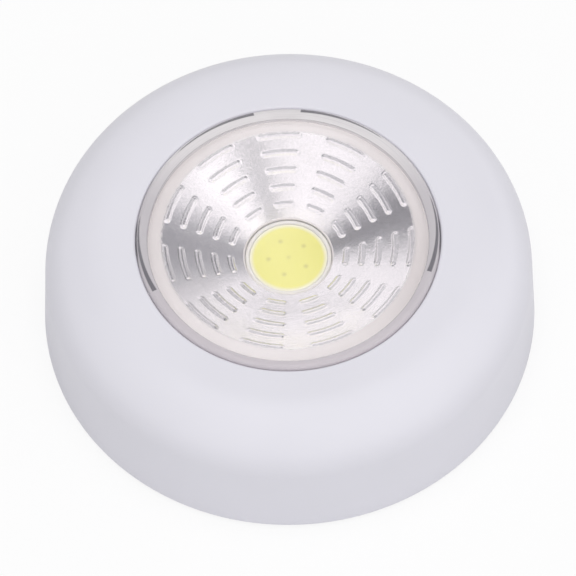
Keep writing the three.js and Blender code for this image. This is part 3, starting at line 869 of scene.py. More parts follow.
BLACK_WIRE = Insulation("black_sleeve", Slot.BLACK, (0.022, 0.022, 0.025), 0.45)
DAM = SoftSilicone("milky_bead", Slot.DAM, (0.95, 0.94, 0.88), 0.3)
GEL = YellowGel("yellow_gel", Slot.PHOSPHOR, (1.0, 0.98, 0.27), 0.42)
DISH = PressedDish("pressed_dish", Slot.DISH, (0.91, 0.90, 0.90), 0.17, 1.0)
LENS = ClearLens("clear_lens", Slot.LENS, (0.965, 0.945, 0.965), 0.02)


# Meshes


class Solid:
    """Mesh code in millimetres that ends as a closed mesh in metres."""

    def __init__(self) -> None:
        """Starts empty."""
        self.work = bmesh.new()

    def ring(self, radii: Sequence[float], level: float) -> list[bmesh.types.BMVert]:
        """Adds a ring of points.

        Args:
            radii: how far out each point is; on the axis they are one point.
            level: the ring's level.

        Returns:
            The points.
        """
        sides = len(radii)
        if max(radii) < ON_AXIS:
            return [self.work.verts.new((0.0, 0.0, level))] * sides
        angles = [math.tau * i / sides for i in range(sides)]
        return [self.work.verts.new((r * math.cos(a), r * math.sin(a), level))
                for r, a in zip(radii, angles)]

    def skin(self, rings: Sequence[Sequence[bmesh.types.BMVert]]) -> None:
        """Spans faces from each ring to the next.

        Args:
            rings: the rings, in order.
        """
        for low, high in zip(rings, rings[1:]):
            for i in range(len(low)):
                j = (i + 1) % len(low)
                corners = list(dict.fromkeys((low[i], low[j], high[j], high[i])))
                if len(corners) > 2:
                    self.work.faces.new(corners)

    def lathe(self, outline: Sequence[Point], sides: int, turn: Optional[Matrix] = None) -> "Solid":
        """Turns a closed outline about Z.

        Args:
            outline: radii and levels in order, with both ends on the axis or no point on it.
            sides: how many steps go round.
            turn: where the shape then goes.

        Returns:
            This solid.
        """
        rings = [self.ring([radius] * sides, level) for radius, level in outline]
        hollow = outline[0][0] > ON_AXIS
        self.skin([*rings, rings[0]] if hollow else rings)
        if turn is not None:
            added = {vert for ring in rings for vert in ring}
            bmesh.ops.transform(self.work, matrix=turn, verts=list(added))
        return self

    def block(self, low: Sequence[float], high: Sequence[float], angle: float = 0.0) -> "Solid":
        """Adds a box between two corners, turned about Z.

        Args:
            low: the lowest corner.
            high: the highest corner.
            angle: how far it turns, in degrees.

        Returns:
            This solid.
        """
        made = bmesh.ops.create_cube(self.work, size=UNIT)["verts"]
        size = [b - a for a, b in zip(low, high)]
        middle = [(a + b) / 2 for a, b in zip(low, high)]
        shape = Matrix.Translation(middle) @ Matrix.Diagonal((*size, 1.0))
        bmesh.ops.transform(self.work, matrix=around(angle) @ shape, verts=made)
        return self

    def sector(self, inner: float, outer: float, span: Point, levels: Point, steps: int = 14) -> "Solid":
        """Adds part of a ring.

        Args:
            inner: its inner radius.
            outer: its outer radius.
            span: its first and last angle, in degrees.
            levels: its lowest and highest level.
            steps: how many steps the arc has.

        Returns:
            This solid.
        """
        rows = []
        for i in range(steps + 1):
            a = math.radians(span[0] + (span[1] - span[0]) * i / steps)
            places = [(inner, levels[0]), (outer, levels[0]), (outer, levels[1]), (inner, levels[1])]
            rows.append([self.work.verts.new((r * math.cos(a), r * math.sin(a), z)) for r, z in places])
        for first, second in zip(rows, rows[1:]):
            for i in range(4):
                j = (i + 1) % 4
                self.work.faces.new((first[i], first[j], second[j], second[i]))
        self.work.faces.new(rows[0][::-1])
        self.work.faces.new(rows[-1])
        return self

    def finished(self, name: str, finish: Optional[Finish] = None,
                 crease: Crease = Crease.CRISP) -> bpy.types.Object:
        """Ends the mesh code.

        Args:
            name: the piece's name.
            finish: what it is made of, if it is a finished piece.
            crease: which edges stay sharp.

        Returns:
            The new object, in metres.
        """
        bmesh.ops.scale(self.work, vec=(MM, MM, MM), verts=self.work.verts)
        mesh = bpy.data.meshes.new(name)
        outward(self.work)
        self.work.to_mesh(mesh)
        self.work.free()
        shade(mesh, crease)
        if finish is not None:
            mesh.materials.append(PAINTS.of(finish))
        return linked(name, mesh)


class Paints:
    """Keeps one material for each finish."""

    def __init__(self) -> None:
        """Starts empty."""
        self.made: dict[str, bpy.types.Material] = {}

    def of(self, finish: Finish) -> bpy.types.Material:
        """The finish's material, built when it is first asked for.

        Args:
            finish: the finish.

        Returns:
            The material.
        """
        if finish.name not in self.made:
            self.made[finish.name] = finish.material()
        return self.made[finish.name]


PAINTS = Paints()


def linked(name: str, data: bpy.types.ID) -> bpy.types.Object:
    """Puts a new object into the scene.

    Args:
        name: the object's name.
        data: its mesh, curve, light or camera.

    Returns:
        The object.
    """
    made = bpy.data.objects.new(name, data)
    bpy.context.scene.collection.objects.link(made)
    return made


def outward(work: bmesh.types.BMesh) -> None:
    """Points the faces of a closed mesh out.

    Args:
        work: the mesh.
    """
    bmesh.ops.recalc_face_normals(work, faces=work.faces)
    if work.calc_volume(signed=True) < 0:
        bmesh.ops.reverse_faces(work, faces=work.faces)


def shade(mesh: bpy.types.Mesh, crease: Crease) -> None:
    """Shades a mesh smooth, with its sharp edges kept."""
    mesh.shade_smooth()
    mesh.set_sharp_from_angle(angle=math.radians(crease.value))


def settled(mesh: bpy.types.Mesh, crease: Crease, weld: float = 0.0) -> None:
    """Welds the doubled points of a mesh that Blender's tools made, points its faces out and shades it.

    Args:
        mesh: the mesh.
        crease: which edges stay sharp.
        weld: how near two points lie that become one, in metres.
    """
    work = bmesh.new()
    work.from_mesh(mesh)
    if weld > 0.0:
        bmesh.ops.remove_doubles(work, verts=work.verts, dist=weld)
    outward(work)
    work.to_mesh(mesh)
    work.free()
    shade(mesh, crease)


def arc(centre: Point, size: Point, first: float, last: float, steps: int) -> list[Point]:
    """Points on part of an ellipse.

    Args:
        centre: its middle, as radius and level.
        size: its half width and half height.
        first: the first angle, in degrees.
        last: the last angle.
        steps: how many steps lie between.

    Returns:
        The points.
    """
    angles = [math.radians(first + (last - first) * i / steps) for i in range(steps + 1)]
    return [(centre[0] + size[0] * math.cos(a), centre[1] + size[1] * math.sin(a)) for a in angles]


def filleted(corners: Sequence[Corner], closed: bool = True, steps: int = 4) -> list[Point]:
    """Rounds the corners of an outline.

    Args:
        corners: radius, level and the rounding of each corner; none leaves it sharp.
        closed: whether the last corner joins the first.
        steps: how many steps a rounding has.

    Returns:
        The outline's points.
    """
    points: list[Point] = []
    count = len(corners)
    for i, (r, z, radius) in enumerate(corners):
        here = Vector((r, z))
        if radius <= 0 or (not closed and i in (0, count - 1)):
            points.append((r, z))
            continue
        back = (Vector(corners[i - 1][:2]) - here).normalized()
        on = (Vector(corners[(i + 1) % count][:2]) - here).normalized()
        half = back.angle(on) / 2
        reach = radius / math.tan(half)
        middle = here + (back + on).normalized() * (radius / math.sin(half))
        start, end = here + back * reach - middle, here + on * reach - middle
        first = math.atan2(start.y, start.x)
        swing = math.remainder(math.atan2(end.y, end.x) - first, math.tau)
        for k in range(steps + 1):
            angle = first + swing * k / steps
            points.append((middle.x + radius * math.cos(angle), middle.y + radius * math.sin(angle)))
    return points


def post(radius: float, low: float, high: float) -> list[Point]:
    """The outline of a plain round bar on Z, to be turned."""
    return [(0.0, low), (radius, low), (radius, high), (0.0, high)]


def around(angle: float, away: float = 0.0, level: float = 0.0) -> Matrix:
    """The place at an angle round Z, a distance out, at a level."""
    return Matrix.Rotation(math.radians(angle), 4, "Z") @ Matrix.Translation((away, 0.0, level))


def in_metres(turn: Matrix) -> Matrix:
    """A place given in millimetres, for a mesh in metres."""
    return Matrix.Scale(MM, 4) @ turn @ Matrix.Scale(1.0 / MM, 4)


def plain(made: bpy.types.Object, name: str) -> bpy.types.Object:
    """Turns an object with live modifiers into a plain mesh object.

    Args:
        made: the object.
        name: the new object's name.

    Returns:
        The plain object; the old one is gone.
    """
    graph = bpy.context.evaluated_depsgraph_get()
    mesh = bpy.data.meshes.new_from_object(made.evaluated_get(graph), depsgraph=graph)
    bpy.data.objects.remove(made)
    mesh.name = name
    return linked(name, mesh)


def combined(whole: bpy.types.Object, others: Sequence[tuple[Join, bpy.types.Object]],
             crease: Crease = Crease.CRISP) -> bpy.types.Object:
    """Joins solids on and cuts solids away.

    Args:
        whole: the first solid.
        others: the other solids, each with what it does.
        crease: which edges stay sharp.

    Returns:
        The one solid.
    """
    name = whole.name
    for join, tool in others:
        step = whole.modifiers.new("combine", "BOOLEAN")
        step.operation = join.value
        step.solver = "MANIFOLD"
        step.object = tool
    whole.name = name + "_work"
    result = plain(whole, name)
    for _, tool in others:
        bpy.data.objects.remove(tool)
    settled(result.data, crease, SAME_PLACE)
    return result


def placed(piece: bpy.types.Object, finish: Finish, body: Body, *nodes: str) -> bpy.types.Object:
    """Puts a finished piece on its body.

    Args:
        piece: the piece.
        finish: what it is made of; not used.
        body: the body that it rides on.
        nodes: the CAD nodes that it stands for.

    Returns:
        The piece.
    """
    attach(piece, body.value)
    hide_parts(*nodes)
    log.info("%s on %s for %s: %d faces", piece.name, body.value, ", ".join(nodes), len(piece.data.polygons))
    return piece


def stretched(piece: bpy.types.Object, finish: Finish, low: float, high: float,
              *nodes: str) -> bpy.types.Object:
    """Bakes a finished piece's place into its mesh and hides the CAD nodes that it stands for.

    Args:
        piece: the piece.
        finish: what it is made of; not used.
        low: the level of the piece's housing end, in millimetres; not used.
        high: the level of the piece's button end; not used.
        nodes: the CAD nodes that it stands for.

    Returns:
        The piece.
    """
    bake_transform(piece)
    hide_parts(*nodes)
    log.info("%s between %s and %s", piece.name, Body.HOUSING.value, Body.BUTTON.value)
    return piece


# Geometry trees


class Socket(str, Enum):
    """The kinds of input that a geometry tree can have."""

    FLOAT = "NodeSocketFloat"
    INT = "NodeSocketInt"
    OBJECT = "NodeSocketObject"
    MATERIAL = "NodeSocketMaterial"


class Shaper:
    """A Geometry Nodes tree with named inputs."""

    def __init__(self, name: str, inputs: dict[str, Socket]) -> None:
        """Starts the tree.

        Args:
            name: the tree's name.
            inputs: its inputs and their kinds.
        """
        self.tree = bpy.data.node_groups.new(name, "GeometryNodeTree")
        face = self.tree.interface
        face.new_socket(name="Geometry", in_out="INPUT", socket_type="NodeSocketGeometry")
        face.new_socket(name="Geometry", in_out="OUTPUT", socket_type="NodeSocketGeometry")
        self.keys = {}
        for label, kind in inputs.items():
            self.keys[label] = face.new_socket(name=label, in_out="INPUT", socket_type=kind.value).identifier
        self.graph = Graph(self.tree)
        self.entry = self.graph.node("NodeGroupInput")

    def given(self, label: str) -> Sock:
        """An input of the tree."""
        return self.entry.out(label)

    def close(self, geometry: Sock) -> None:
        """Ends the tree in plain mesh and its material.

        Args:
            geometry: what it has built.
        """
        whole = self.graph.node("GeometryNodeRealizeInstances", {}, {"Geometry": geometry}).out()
        inputs = {"Geometry": whole, "Material": self.given("Material")}
        painted = self.graph.node("GeometryNodeSetMaterial", {}, inputs).out()
        self.graph.node("NodeGroupOutput", {}, {"Geometry": painted})

    def made(self, name: str, values: dict[str, object], crease: Crease = Crease.ROUND,
             source: Optional[bpy.types.Object] = None) -> bpy.types.Object:
        """Runs the tree.

        Args:
            name: the new object's name.
            values: what goes into its inputs.
            crease: which edges stay sharp.
            source: the object that it works on, or none.

        Returns:
            A plain mesh object.
        """
        if source is None:
            source = linked(name + "_work", bpy.data.meshes.new(name + "_work"))
        step = source.modifiers.new("shape", "NODES")
        step.node_group = self.tree
        for label, value in values.items():
            step[self.keys[label]] = value
        result = plain(source, name)
        settled(result.data, crease)
        return result


def ring_tree() -> Shaper:
    """Copies a source round Z.

    Returns:
        The tree.
    """
    shaper = Shaper("copies_round_axis", {
        "Source": Socket.OBJECT, "Count": Socket.INT, "First": Socket.FLOAT, "Step": Socket.FLOAT,
        "Material": Socket.MATERIAL})
    graph = shaper.graph
    points = graph.node("GeometryNodePoints", {}, {"Count": shaper.given("Count")}).out()
    index = graph.node("GeometryNodeInputIndex").out()
    angle = index * shaper.given("Step") + shaper.given("First")
    source = graph.node("GeometryNodeObjectInfo", {}, {"Object": shaper.given("Source")}).out("Geometry")
    copies = graph.node("GeometryNodeInstanceOnPoints", {}, {
        "Points": points, "Instance": source, "Rotation": graph.vector(0.0, 0.0, angle)}).out()
    shaper.close(copies)
    return shaper


def coil_tree() -> Shaper:
    """Winds a spring on Z, with closed turns at both ends, which lie a hair apart.

    Returns:
        The tree.
    """
    turn_steps, wire_sides, closed_pitch = 36, 12, 2.02
    shaper = Shaper("wound_spring", {
        "Low radius": Socket.FLOAT, "High radius": Socket.FLOAT, "Length": Socket.FLOAT,
        "Turns": Socket.FLOAT, "Closed turns": Socket.FLOAT, "Wire radius": Socket.FLOAT,
        "Material": Socket.MATERIAL})
    graph = shaper.graph
    wire, turns, shut = shaper.given("Wire radius"), shaper.given("Turns"), shaper.given("Closed turns")
    path = graph.node("GeometryNodeCurveSpiral", {}, {
        "Resolution": turn_steps, "Rotations": turns, "Start Radius": shaper.given("Low radius") - wire,
        "End Radius": shaper.given("High radius") - wire, "Height": 0.0}).out()
    share = graph.node("GeometryNodeSplineParameter").out("Factor")
    turn = share * turns
    run = shaper.given("Length") - wire * 2.0
    pitch = wire * closed_pitch
    low = turn.least(shut) * pitch
    high = (turn - (turns - shut)).most(0.0) * pitch
    middle = (turn - shut).most(0.0).least(turns - shut * 2.0)
    climb = (run - shut * pitch * 2.0) * (middle / (turns - shut * 2.0))
    level = low + high + climb + wire
    lifted = graph.node("GeometryNodeSetPosition", {}, {
        "Geometry": path, "Offset": graph.vector(0.0, 0.0, level)}).out()
    round_wire = graph.node("GeometryNodeCurvePrimitiveCircle", {}, {
        "Resolution": wire_sides, "Radius": wire}).out()
    mesh = graph.node("GeometryNodeCurveToMesh", {}, {
        "Curve": lifted, "Profile Curve": round_wire, "Fill Caps": True}).out()
    shaper.close(mesh)
    return shaper


def tube_tree() -> Shaper:
    """Draws a round sleeve along a curve.

    Returns:
        The tree.
    """
    shaper = Shaper("sleeve_on_path", {
        "Radius": Socket.FLOAT, "Steps": Socket.INT, "Sides": Socket.INT, "Material": Socket.MATERIAL})
    graph = shaper.graph
    path = graph.node("GeometryNodeResampleCurve", {}, {
        "Curve": shaper.given("Geometry"), "Count": shaper.given("Steps")}).out()
    profile = graph.node("GeometryNodeCurvePrimitiveCircle", {}, {
        "Resolution": shaper.given("Sides"), "Radius": shaper.given("Radius")}).out()
    mesh = graph.node("GeometryNodeCurveToMesh", {}, {
        "Curve": path, "Profile Curve": profile, "Fill Caps": True}).out()
    shaper.close(mesh)
    return shaper


def dish_tree() -> Shaper:
    """Shapes the dish from rows and columns: up the ribbed face, over the brim and back underneath.

    Returns:
        The tree.
    """
    sizes = ("Hole radius", "Brim inner", "Brim outer", "Base level", "Slope", "Thickness", "First rib",
             "Rib pitch", "Rib half width", "Rib height", "Rib edge", "Rib fall", "Half span",
             "First sector", "Sectors")
    inputs = {label: Socket.FLOAT for label in sizes}
    inputs.update({"Columns": Socket.INT, "Face rows": Socket.INT, "Under rows": Socket.INT,
                   "Ribs": Socket.FLOAT, "Material": Socket.MATERIAL})
    shaper = Shaper("ribbed_dish", inputs)
    graph, given = shaper.graph, shaper.given
    face, under = given("Face rows"), given("Under rows")
    rows = face + under + 3.0
    grid = graph.node("GeometryNodeMeshGrid", {}, {
        "Size X": UNIT, "Size Y": UNIT,
        "Vertices X": given("Columns") + 1.0, "Vertices Y": rows + 1.0}).out()
    u, v, _ = graph.split(graph.node("GeometryNodeInputPosition").out())
    angle = (u + 0.5) * math.tau
    row = ((v + 0.5) * rows + 0.5).math("FLOOR")

    hole, rim = given("Hole radius"), given("Brim outer")
    up = ((row - 1.0) / face).most(0.0).least(1.0)
    back = ((row - face - 2.0) / under).most(0.0).least(1.0)
    radius = hole + (rim - hole) * (up - back)
    is_under = row.above(face + 1.5).most(1.0 - row.above(0.5))

    brim = given("Brim inner")
    sheet = given("Base level") + (radius.least(brim) - hole) * given("Slope")

    turn = graph.number(math.tau, "DIVIDE", given("Sectors"))
    local = (angle - given("First sector")).wrapped(turn * -0.5, turn * 0.5)
    nearest = ((radius - given("First rib")) / given("Rib pitch") + 0.5).math("FLOOR")
    nearest = nearest.most(0.0).least(given("Ribs") - 1.0)
    middle = given("First rib") + nearest * given("Rib pitch")
    half_arc = given("Half span") * middle - given("Rib half width")
    along = (abs(local) * middle - half_arc).most(0.0)
    across = radius - middle
    gap = graph.distance(across, along)
    wall = ((given("Rib half width") - gap) / given("Rib edge")).most(0.0).least(1.0)
    wall = wall.least((given("Rib half width") - across) / given("Rib fall")).most(0.0)
    wall = wall * wall * (3.0 - wall * 2.0)
    rise = wall * given("Rib height")
    level = sheet + rise * (1.0 - is_under) - given("Thickness") * is_under

    place = graph.vector(radius * angle.cosine(), radius * angle.sine(), level)
    shaped = graph.node("GeometryNodeSetPosition", {}, {"Geometry": grid, "Position": place}).out()
    welded = graph.node("GeometryNodeMergeByDistance", {}, {
        "Geometry": shaped, "Distance": 10 * SAME_PLACE}).out()
    shaper.close(welded)
    return shaper


RING = ring_tree()
COIL = coil_tree()
TUBE = tube_tree()


def ring_values(source: bpy.types.Object, finish: Finish, first: float, count: int = 3,
                step: float = THIRD) -> dict[str, object]:
    """What the ring tree needs.

    Args:
        source: the piece to copy.
        finish: what it is made of.
        first: the first copy's angle, in degrees.
        count: how many copies.
        step: the angle from one to the next, in degrees.

    Returns:
        The values by input.
    """
    return {"Source": source, "Count": count, "First": math.radians(first), "Step": math.radians(step),
            "Material": PAINTS.of(finish)}


# Sub-assemblies, in millimetres and degrees, with the sizes of the CAD model


@dataclass(frozen=True)
class LampSizes:
    """Sizes that more than one sub-assembly needs."""

    cone_angle: float = 22.0
    brim_inner: float = 19.2
    hub_bottom: float = 13.616
    board_bottom: float = 14.816
    board_top: float = 15.816
    wire_circle: float = 8.7
    wire_angles: Point = (120.0, 180.0)
    screw_circle: float = 9.2
    screw_angles: Point = (90.0, 270.0)
    boss_circle: float = 28.95
    spring_circle: float = 21.2
    overlap: float = 0.5


LAMP = LampSizes()


@dataclass
class HousingShell:
    """The white domed ring with its collar, bosses, ledges and stops."""

    body_radius: float = 37.496
    foot: float = 0.4
    foot_rounding: float = 0.8
    wall: float = 2.0
    shoulder_centre: float = 27.124
    shoulder_level: float = 13.496
    shoulder: Point = (9.8, 9.0)
    crest: float = 22.496
    lip_radius: float = 22.99
    lip_rounding: float = 0.45
    collar_outer: float = 24.6
    collar_bottom: float = 19.9
    edge: float = 0.1
    foot_edge: float = 0.15
    sunk: float = 1.0
    ledge_radius: float = 33.5
    ledge_levels: Point = (2.1, 2.8)
    ledge_half: float = 10.0
    stop_span: Point = (9.5, 12.5)
    stop_top: float = 4.1
    boss_radius: float = 2.7
    boss_bottom: float = 14.9
    boss_roof: float = 1.3
    boss_edge: float = 0.3
    bore_radius: float = 1.15
    bore_top: float = 20.55
    sides: int = 288
    boss_sides: int = 40
    bore_sides: int = 24

    def outline(self) -> list[Point]:
        """The ring's section, from the foot over the dome and back inside.

        Returns:
            The closed outline.
        """
        foot = arc((self.body_radius - self.foot_rounding, self.foot + self.foot_rounding),
                   (self.foot_rounding, self.foot_rounding), -90, 0, 8)
        dome = arc((self.shoulder_centre, self.shoulder_level), self.shoulder, 0, 90, 40)
        lip = arc((self.lip_radius + self.lip_rounding, self.crest - self.lip_rounding),
                  (self.lip_rounding, self.lip_rounding), 90, 180, 8)
        inside = arc((self.shoulder_centre, self.shoulder_level),
                     (self.shoulder[0] - self.wall, self.shoulder[1] - self.wall), 90, 0, 24)
        roof = self.crest - self.wall
        inner_foot = self.body_radius - self.wall
        collar_edge = self.collar_bottom + self.edge
        return [
            *foot, *dome, *lip,
            (self.lip_radius, collar_edge), (self.lip_radius + self.edge, self.collar_bottom),
            (self.collar_outer - self.edge, self.collar_bottom), (self.collar_outer, collar_edge),
            (self.collar_outer, roof), *inside,
            (inner_foot, self.foot + self.foot_edge), (inner_foot + self.foot_edge, self.foot),
        ]

    def build(self) -> bpy.types.Object:
        """Builds the ring.

        Returns:
            The finished piece.
        """
        shell = Solid().lathe(self.outline(), self.sides).finished("housing_shell", SHELL)
        outer, boss_top = self.body_radius - self.sunk, self.crest - self.boss_roof
        boss = filleted([(0.0, self.boss_bottom, 0), (self.boss_radius, self.boss_bottom, self.boss_edge),
                         (self.boss_radius, boss_top, 0), (0.0, boss_top, 0)], closed=False)
        bore = post(self.bore_radius, self.boss_bottom - self.sunk, self.bore_top)
        tools = []
        for middle in CELL_ANGLES:
            span = (middle - self.ledge_half, middle + self.ledge_half)
            ledge = Solid().sector(self.ledge_radius, outer, span, self.ledge_levels)
            span = (middle + self.stop_span[0], middle + self.stop_span[1])
            stop = Solid().sector(self.ledge_radius, outer, span, (self.ledge_levels[0], self.stop_top), 4)
            turn = around(middle, LAMP.boss_circle)
            tools += [
                (Join.ADD, ledge.finished("ledge", SHELL)),
                (Join.ADD, stop.finished("stop", SHELL)),
                (Join.ADD, Solid().lathe(boss, self.boss_sides, turn).finished("boss", SHELL)),
                (Join.CUT, Solid().lathe(bore, self.bore_sides, turn).finished("bore", SHELL)),
            ]
        return placed(combined(shell, tools), SHELL, Body.HOUSING, "front_housing")


@dataclass
class BackPlate:
    """The twist-lock base: a cover disc, a raised plate with three hooks, and the foam pad."""

    pad_radius: float = 27.0
    pad_top: float = 1.0
    cover_radius: float = 35.05
    cover_top: float = 1.8
    plate_radius: float = 33.1
    plate_top: float = 2.6
    upstand: float = 1.2
    tab_radius: float = 34.7
    tab_levels: Point = (3.1, 4.1)
    tab_span: float = 18.0
    cover_edges: Point = (0.3, 0.2)
    plate_edge: float = 0.2
    pad_edges: Point = (0.18, 0.12)
    sides: int = 240

    def build(self) -> list[bpy.types.Object]:
        """Builds the plate and the pad.

        Returns:
            The finished pieces.
        """
        outline = filleted([
            (0.0, self.pad_top, 0), (self.cover_radius, self.pad_top, self.cover_edges[0]),
            (self.cover_radius, self.cover_top, self.cover_edges[1]),
            (self.plate_radius, self.cover_top, 0), (self.plate_radius, self.plate_top, self.plate_edge),
            (0.0, self.plate_top, 0)], closed=False)
        plate = Solid().lathe(outline, self.sides).finished("back_plate", INNER)
        inner = self.plate_radius - self.upstand
        tools = []
        for middle in CELL_ANGLES:
            span = (middle - self.tab_span / 2, middle + self.tab_span / 2)
            stem = Solid().sector(inner, self.plate_radius, span,
                                  (self.plate_top - LAMP.overlap, self.tab_levels[1]))
            hook = Solid().sector(inner, self.tab_radius, span, self.tab_levels)
            tools += [(Join.ADD, stem.finished("stem", INNER)), (Join.ADD, hook.finished("hook", INNER))]
        base = placed(combined(plate, tools), INNER, Body.BASE, "base_plate")
        foam = filleted([
            (0.0, 0.0, 0), (self.pad_radius, 0.0, self.pad_edges[0]),
            (self.pad_radius, self.pad_top, self.pad_edges[1]), (0.0, self.pad_top, 0)], closed=False)
        pad = Solid().lathe(foam, self.sides).finished("foam_pad", FOAM)
        return [base, placed(pad, FOAM, Body.BASE, "adhesive_pad")]


@dataclass
class LensCap:
    """The clear lens: a flat window with a short skirt and three hooks."""

    radius: float = 22.95
    inner: float = 21.45
    under: float = 21.696
    top: float = 22.896
    skirt_bottom: float = 19.9
    rounding: float = 0.9
    inner_rounding: float = 0.35
    edge: float = 0.1
    hook_half: float = 2.0
    hook_thickness: float = 1.1
    hook_reach: float = 0.8
    barb_levels: Point = (17.3, 18.0)
    seat: float = 0.2
    sides: int = 288

    def build(self) -> bpy.types.Object:
        """Builds the lens.

        Returns:
            The finished piece.
        """
        rounded = arc((self.radius - self.rounding, self.top - self.rounding),
                      (self.rounding, self.rounding), 0, 90, 14)
        corner = arc((self.inner - self.inner_rounding, self.under - self.inner_rounding),
                     (self.inner_rounding, self.inner_rounding), 90, 0, 6)
        skirt_edge = self.skirt_bottom + self.edge
        outline = [
            (0.0, self.under), *corner,
            (self.inner, skirt_edge), (self.inner + self.edge, self.skirt_bottom),
            (self.radius - self.edge, self.skirt_bottom), (self.radius, skirt_edge),
            *rounded, (0.0, self.top)]
        window = Solid().lathe(outline, self.sides).finished("lens_cap", LENS)
        low, high = self.barb_levels
        foot = self.inner + self.seat
        back = foot + self.hook_thickness
        start = (foot, -self.hook_half, low)
        tools = []
        for middle in CELL_ANGLES:
            stem = Solid().block(start, (back, self.hook_half, self.skirt_bottom + LAMP.overlap), middle)
            barb = Solid().block(start, (back + self.hook_reach, self.hook_half, high), middle)
            tools += [(Join.ADD, stem.finished("stem", LENS)), (Join.ADD, barb.finished("barb", LENS))]
        return placed(combined(window, tools), LENS, Body.BUTTON, "lens")


@dataclass
class Dish:
    """The pressed metal dish: a shallow cone with eleven sectors of five ribs, and a flat brim."""

    hole_radius: float = 6.66
    brim_inner: float = LAMP.brim_inner
    brim_outer: float = 21.2
    base_level: float = 16.509
    thickness: float = 0.35
    first_rib: float = 8.8
    rib_pitch: float = 2.46
    rib_half_width: float = 0.6
    rib_height: float = 0.205
    rib_edge: float = 0.42
    rib_fall: float = 0.8
    half_span: float = 10.5
    first_sector: float = 93.2
    sectors: int = 11
    ribs: int = 5
    columns: int = 528
    face_rows: int = 160
    under_rows: int = 6

    def build(self) -> bpy.types.Object:
        """Builds the dish.

        Returns:
            The finished piece.
        """
        values = {
            "Hole radius": self.hole_radius * MM, "Brim inner": self.brim_inner * MM,
            "Brim outer": self.brim_outer * MM, "Base level": self.base_level * MM,
            "Slope": math.tan(math.radians(LAMP.cone_angle)), "Thickness": self.thickness * MM,
            "First rib": self.first_rib * MM, "Rib pitch": self.rib_pitch * MM,
            "Rib half width": self.rib_half_width * MM, "Rib height": self.rib_height * MM,
            "Rib edge": self.rib_edge * MM, "Rib fall": self.rib_fall * MM,
            "Half span": math.radians(self.half_span), "First sector": math.radians(self.first_sector),
            "Sectors": float(self.sectors), "Ribs": float(self.ribs), "Columns": self.columns,
            "Face rows": self.face_rows, "Under rows": self.under_rows, "Material": PAINTS.of(DISH)}
        made = dish_tree().made("ribbed_dish", values)
        return placed(made, DISH, Body.BUTTON, "reflector")


@dataclass
class LedField:
    """The round LED: a milky bead round a low dome of yellow gel."""

    board_top: float = LAMP.board_top
    dam_radius: float = 6.6
    dam_width: float = 0.65
    dam_height: float = 0.5
    dam_foot: float = 0.2
    gel_radius: float = 5.9
    gel_edge: float = 0.2
    gel_height: float = 0.35
    steps: int = 14
    sides: int = 160

    def build(self) -> list[bpy.types.Object]:
        """Builds the bead and the gel.

        Returns:
            The finished pieces.
        """
        half = self.dam_width / 2
        middle = self.dam_radius - half
        low = self.board_top
        bead = [(middle - half, low), (middle + half, low),
                *arc((middle, low + self.dam_foot), (half, self.dam_height - self.dam_foot), 0, 180,
                     self.steps)]
        dam = Solid().lathe(bead, self.sides).finished("led_bead", DAM, Crease.ROUND)
        dome = [(0.0, low), (self.gel_radius, low)]
        for i in range(self.steps + 1):
            share = 1.0 - i / self.steps
            rise = self.gel_edge + (self.gel_height - self.gel_edge) * (1.0 - share ** 2)
            dome.append((self.gel_radius * share, low + rise))
        gel = Solid().lathe(dome, self.sides).finished("led_gel", GEL, Crease.ROUND)
        return [placed(dam, DAM, Body.BUTTON, "led_dam_ring"), placed(gel, GEL, Body.BUTTON, "led_phosphor")]


